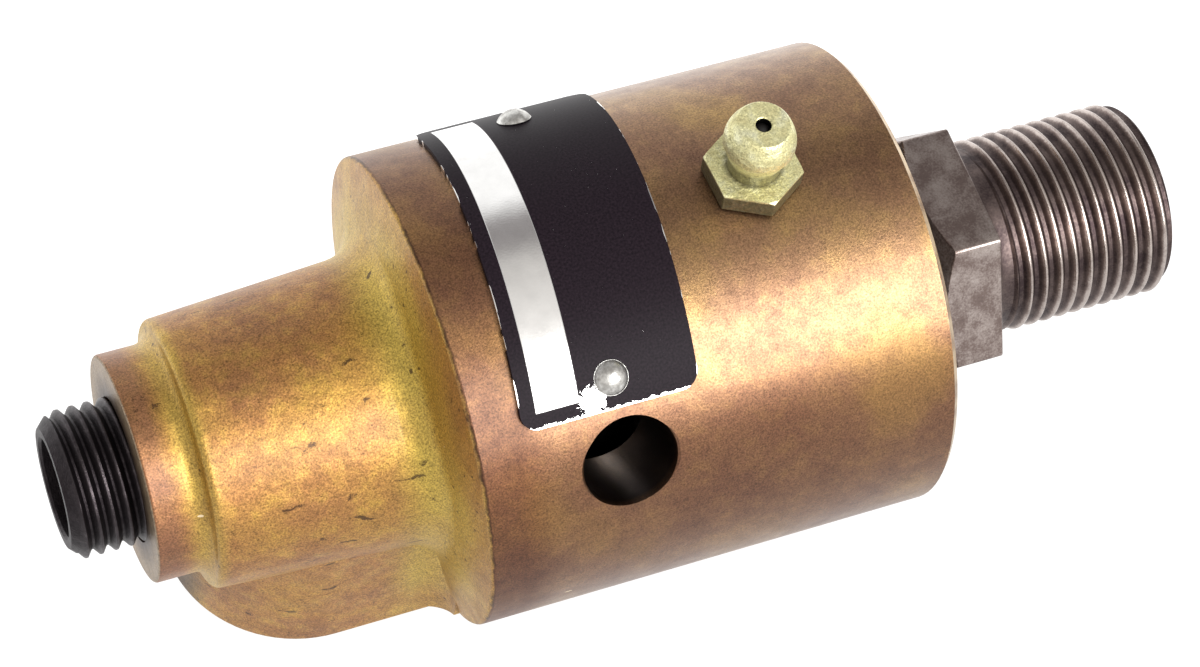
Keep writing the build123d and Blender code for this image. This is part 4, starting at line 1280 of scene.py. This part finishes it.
@dataclass
class DriveScrews:
    """The two round-head drive screws of the name plate, set out by geometry nodes."""

    finish: bpy.types.Material
    head_radius: float = 1.6
    head_height: float = 1.0
    shank_radius: float = 0.95
    shank_length: float = 4.5
    seat: float = 23.04
    centre_angle: float = 2.2
    half_angle: float = 38.8
    station: float = -42.0
    skew: float = 3.2

    def one_screw(self) -> bpy.types.Mesh:
        """Makes one screw, standing along Z with its seat at the origin.

        Returns:
            The screw's mesh.
        """
        form = TurnedForm()
        dome = (self.head_radius**2 + self.head_height**2) / (2 * self.head_height)
        side = math.degrees(math.asin(self.head_radius / dome))
        form.rings_along([(0.0, self.shank_radius), (0.0, self.head_radius - 0.06), (0.05, self.head_radius)])
        form.rings_along(arc_points((self.head_height - dome, 0.0), dome, side - 2.0, 1.0, 14))
        tip = self.shank_radius - 0.3
        form.rings_along([(self.head_height, 0.0), (-self.shank_length, 0.0), (-self.shank_length, tip)])
        form.ring(-self.shank_length + 0.4, self.shank_radius)
        mesh = form.mesh(40.0)
        mesh.transform(upright_at(0.0))
        return mesh

    def tree(self) -> bpy.types.NodeTree:
        """Builds the tree that sets a screw at each end of the plate.

        Returns:
            The geometry node tree, with a named input for each size.
        """
        tree = bpy.data.node_groups.new("drive_screws", "GeometryNodeTree")
        graph = Graph(tree)
        tree.interface.new_socket("Screw", in_out="INPUT", socket_type="NodeSocketGeometry")
        for name in ("Seat", "Centre angle", "Half angle", "Station", "Skew slope"):
            tree.interface.new_socket(name, in_out="INPUT", socket_type="NodeSocketFloat")
        tree.interface.new_socket("Count", in_out="INPUT", socket_type="NodeSocketInt")
        tree.interface.new_socket("Material", in_out="INPUT", socket_type="NodeSocketMaterial")
        tree.interface.new_socket("Mesh", in_out="OUTPUT", socket_type="NodeSocketGeometry")
        given = graph.add("NodeGroupInput", {}, {}).node.outputs
        index = graph.add("GeometryNodeInputIndex", {}, {})
        side = graph.add("ShaderNodeMath", {"operation": "MULTIPLY_ADD"}, {0: index, 1: -2.0, 2: 1.0})
        swing = graph.add("ShaderNodeMath", {"operation": "MULTIPLY"}, {0: side, 1: given["Half angle"]})
        angle = graph.add("ShaderNodeMath", {"operation": "ADD"}, {0: swing, 1: given["Centre angle"]})
        sideways = graph.add("ShaderNodeMath", {"operation": "SINE"}, {0: swing})
        sideways = graph.add("ShaderNodeMath", {"operation": "MULTIPLY"}, {0: sideways, 1: given["Seat"]})
        station = graph.add("ShaderNodeMath", {"operation": "MULTIPLY_ADD"}, {
            0: sideways, 1: given["Skew slope"], 2: given["Station"],
        })
        across = graph.add("ShaderNodeMath", {"operation": "SINE"}, {0: angle})
        upward = graph.add("ShaderNodeMath", {"operation": "COSINE"}, {0: angle})
        side_y = graph.add("ShaderNodeMath", {"operation": "MULTIPLY"}, {0: across, 1: given["Seat"]})
        side_z = graph.add("ShaderNodeMath", {"operation": "MULTIPLY"}, {0: upward, 1: given["Seat"]})
        place = graph.add("ShaderNodeCombineXYZ", {}, {0: station, 1: side_y, 2: side_z})
        points = graph.add("GeometryNodePoints", {}, {"Count": given["Count"], "Position": place})
        back = graph.add("ShaderNodeMath", {"operation": "MULTIPLY"}, {0: angle, 1: -1.0})
        turn = graph.add("ShaderNodeCombineXYZ", {}, {0: back, 1: 0.0, 2: 0.0})
        set_out = graph.add("GeometryNodeInstanceOnPoints", {}, {
            "Points": points, "Instance": given["Screw"], "Rotation": turn,
        })
        shape = graph.add("GeometryNodeRealizeInstances", {}, {"Geometry": set_out})
        shape = graph.add("GeometryNodeSetMaterial", {}, {"Geometry": shape, "Material": given["Material"]})
        graph.add("NodeGroupOutput", {}, {"Mesh": shape})
        return tree

    def build(self) -> None:
        """Makes both screws in place of the plain ones."""
        mesh = run_tree(self.tree(), "screws", {
            "Seat": self.seat * MM, "Centre angle": math.radians(self.centre_angle),
            "Half angle": math.radians(self.half_angle), "Station": self.station * MM,
            "Skew slope": math.tan(math.radians(self.skew)), "Count": 2, "Material": self.finish,
        }, self.one_screw())
        set_finish(mesh, self.finish)
        hand_over(put_in_scene(mesh, "drive_screws_dressed"), "name_plate_screws", "housing")


@dataclass(frozen=True)
class Studio:
    """The camera of the photograph, a white table, a soft front light and a pale room."""

    camera_place: tuple = (-130.33, -156.86, 295.02)
    camera_right: tuple = (0.92895, -0.35438, 0.10709)
    camera_up: tuple = (0.25238, 0.81784, 0.51715)
    lens: float = 110.79
    floor_height: float = -22.85
    front_glow: float = 0.74
    back_glow: float = 1.45
    floor_shade: float = 0.2
    key_power: float = 8.8
    key_size: float = 0.52
    key_distance: float = 0.8
    key_direction: tuple = (0.271, -0.705, 0.66)

    def add_camera(self) -> None:
        """Puts the camera where the photograph was taken from."""
        data = bpy.data.cameras.new("camera")
        data.lens = self.lens
        data.sensor_width = 36.0
        data.sensor_fit = "HORIZONTAL"
        data.clip_start = 0.01
        camera = bpy.data.objects.new("camera", data)
        bpy.context.scene.collection.objects.link(camera)
        right, up = Vector(self.camera_right).normalized(), Vector(self.camera_up).normalized()
        back = right.cross(up).normalized()
        up = back.cross(right)
        turn = Matrix((right, up, back)).transposed().to_4x4()
        camera.matrix_world = Matrix.Translation(Vector(self.camera_place) * MM) @ turn
        bpy.context.scene.camera = camera

    def add_floor(self) -> None:
        """Lays the white table under the union."""
        size = 3.0
        height = self.floor_height * MM
        mesh = bpy.data.meshes.new("table")
        mesh.from_pydata([(-size, -size, height), (size, -size, height), (size, size, height), (-size, size, height)],
                         [], [(0, 1, 2, 3)])
        table = put_in_scene(mesh, "table")
        made = bpy.data.materials.new("white_paper")
        made.use_nodes = True
        made.node_tree.nodes.clear()
        graph = Graph(made.node_tree)
        place = graph.add("ShaderNodeTexCoord", {}, {}, "Object")
        depth = graph.add("ShaderNodeSeparateXYZ", {}, {0: place}, 1)
        # The table glows, dimmer in front as painted shade near the union and brighter behind
        glow = graph.add("ShaderNodeMapRange", {}, {
            0: depth, 1: -20 * MM, 2: 60 * MM, 3: self.front_glow, 4: self.back_glow,
        })
        surface = graph.add("ShaderNodeBsdfPrincipled", {}, {
            "Base Color": (self.floor_shade, self.floor_shade, self.floor_shade, 1), "Roughness": 0.9,
            "Emission Color": (1, 1, 1, 1), "Emission Strength": glow,
        })
        graph.add("ShaderNodeOutputMaterial", {}, {"Surface": surface})
        mesh.materials.append(made)

    def add_light(self) -> None:
        """Hangs the soft light in front and sets the room, darker high up at the back."""
        data = bpy.data.lights.new("window", "AREA")
        data.shape = "SQUARE"
        data.size = self.key_size
        data.energy = self.key_power
        light = bpy.data.objects.new("window", data)
        bpy.context.scene.collection.objects.link(light)
        direction = Vector(self.key_direction).normalized()
        light.location = direction * self.key_distance + Vector((-0.03, 0, 0))
        light.rotation_mode = "QUATERNION"
        light.rotation_quaternion = direction.to_track_quat("Z", "Y")
        world = bpy.data.worlds.new("room")
        bpy.context.scene.world = world
        world.use_nodes = True
        world.node_tree.nodes.clear()
        graph = Graph(world.node_tree)
        aim = graph.add("ShaderNodeTexCoord", {}, {}, "Generated")
        axes = graph.add("ShaderNodeSeparateXYZ", {}, {0: aim}).node.outputs
        climb = graph.add("ShaderNodeMath", {"operation": "ARCTAN2"}, {0: axes[2], 1: axes[1]})
        share = graph.add("ShaderNodeMath", {"operation": "DIVIDE"}, {0: climb, 1: math.pi})
        sky = graph.add("ShaderNodeValToRGB", {"stops": [
            (0.0, "#FFFFFF"), (0.22, "#FFFFFF"), (0.28, "#8A8686"), (0.35, "#8A8686"), (0.41, "#C4C1BE"),
            (0.55, "#E4E1DE"), (0.7, "#F4F1EE"), (0.9, "#E9E6E3"), (1.0, "#DCD8D5"),
        ]}, {0: share})
        background = graph.add("ShaderNodeBackground", {}, {"Color": sky, "Strength": 1.15})
        graph.add("ShaderNodeOutputWorld", {}, {"Surface": background})
        bpy.context.scene.view_settings.view_transform = "Standard"


def dress_plain_nodes() -> None:
    """Gives every CAD node that stays its real finish."""
    # Hardened and ground bearing steel, as fine as glass to the eye
    ground = PlainMetal("ground_steel", "#C4C3C2", "#9C9A98", 2.0, 0.1, 0.18, 0.002).material()
    # Turned steel of the sleeves and rings, with a faint oil film
    turned = PlainMetal("turned_steel", "#9E9994", "#6E6863", 2.0, 0.15, 0.32, 0.005).material()
    # Blued spring steel, dark and satin
    spring = PlainMetal("spring_steel", "#6A6662", "#3E3A38", 1.5, 0.1, 0.3, 0.004).material()
    # Cold-rolled sheet, pressed to shape
    pressed = PlainMetal("pressed_steel", "#B5B2AE", "#8B8783", 2.5, 0.12, 0.3, 0.003).material()
    by_slot = {
        Slot.BRONZE.value: AgedBronze().material(),
        Slot.BEARING.value: ground,
        Slot.TURNED.value: turned,
        Slot.SPRING.value: spring,
        Slot.SHEET.value: pressed,
        Slot.CARBON.value: DullSolid("carbon_graphite").material(),
        Slot.RUBBER.value: DullSolid("nitrile_rubber", "#1B1B1C", "#0D0D0E", 0.6, 0.5).material(),
    }
    for name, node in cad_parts.items():
        slot = node.data.materials[0].name if node.data.materials else ""
        if slot in by_slot:
            set_finish(node.data, by_slot[slot])
            LOG.info("%s: %s", name, slot)
    # The check ball sits in old grease; its near black is also painted shade deep in the fitting's mouth
    set_finish(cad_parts["grease_fitting_ball"].data, DullSolid("greased_shaded_ball", "#16120F", "#070605").material())


def main() -> None:
    """Builds each part of the scene in order."""
    logging.basicConfig(level=logging.INFO, format="%(name)s: %(message)s")
    studio = Studio()
    studio.add_camera()
    studio.add_floor()
    studio.add_light()
    dress_plain_nodes()
    Rotor(OiledSteel().material()).build()
    # Black oxide on pipe steel, wet with oil
    black = OiledSteel("black_oxide", "#5E5759", "#3B3638", "#272325", 6.2, 6.95, 0.05, 0.72, 0.32, 0.9, 0.16, 0.05).material()
    PipeNipple(black).build()
    GreaseFitting(YellowZinc().material()).build()
    NamePlate(EnamelledPlate().material()).build()
    # Bright nickelled steel, scuffed by the hammer that drove it
    bright = PlainMetal("bright_nickel", "#D4D3CF", "#96938F", 0.5, 0.12, 0.34, 0.02).material()
    DriveScrews(bright).build()


if __name__ == "__main__":
    main()
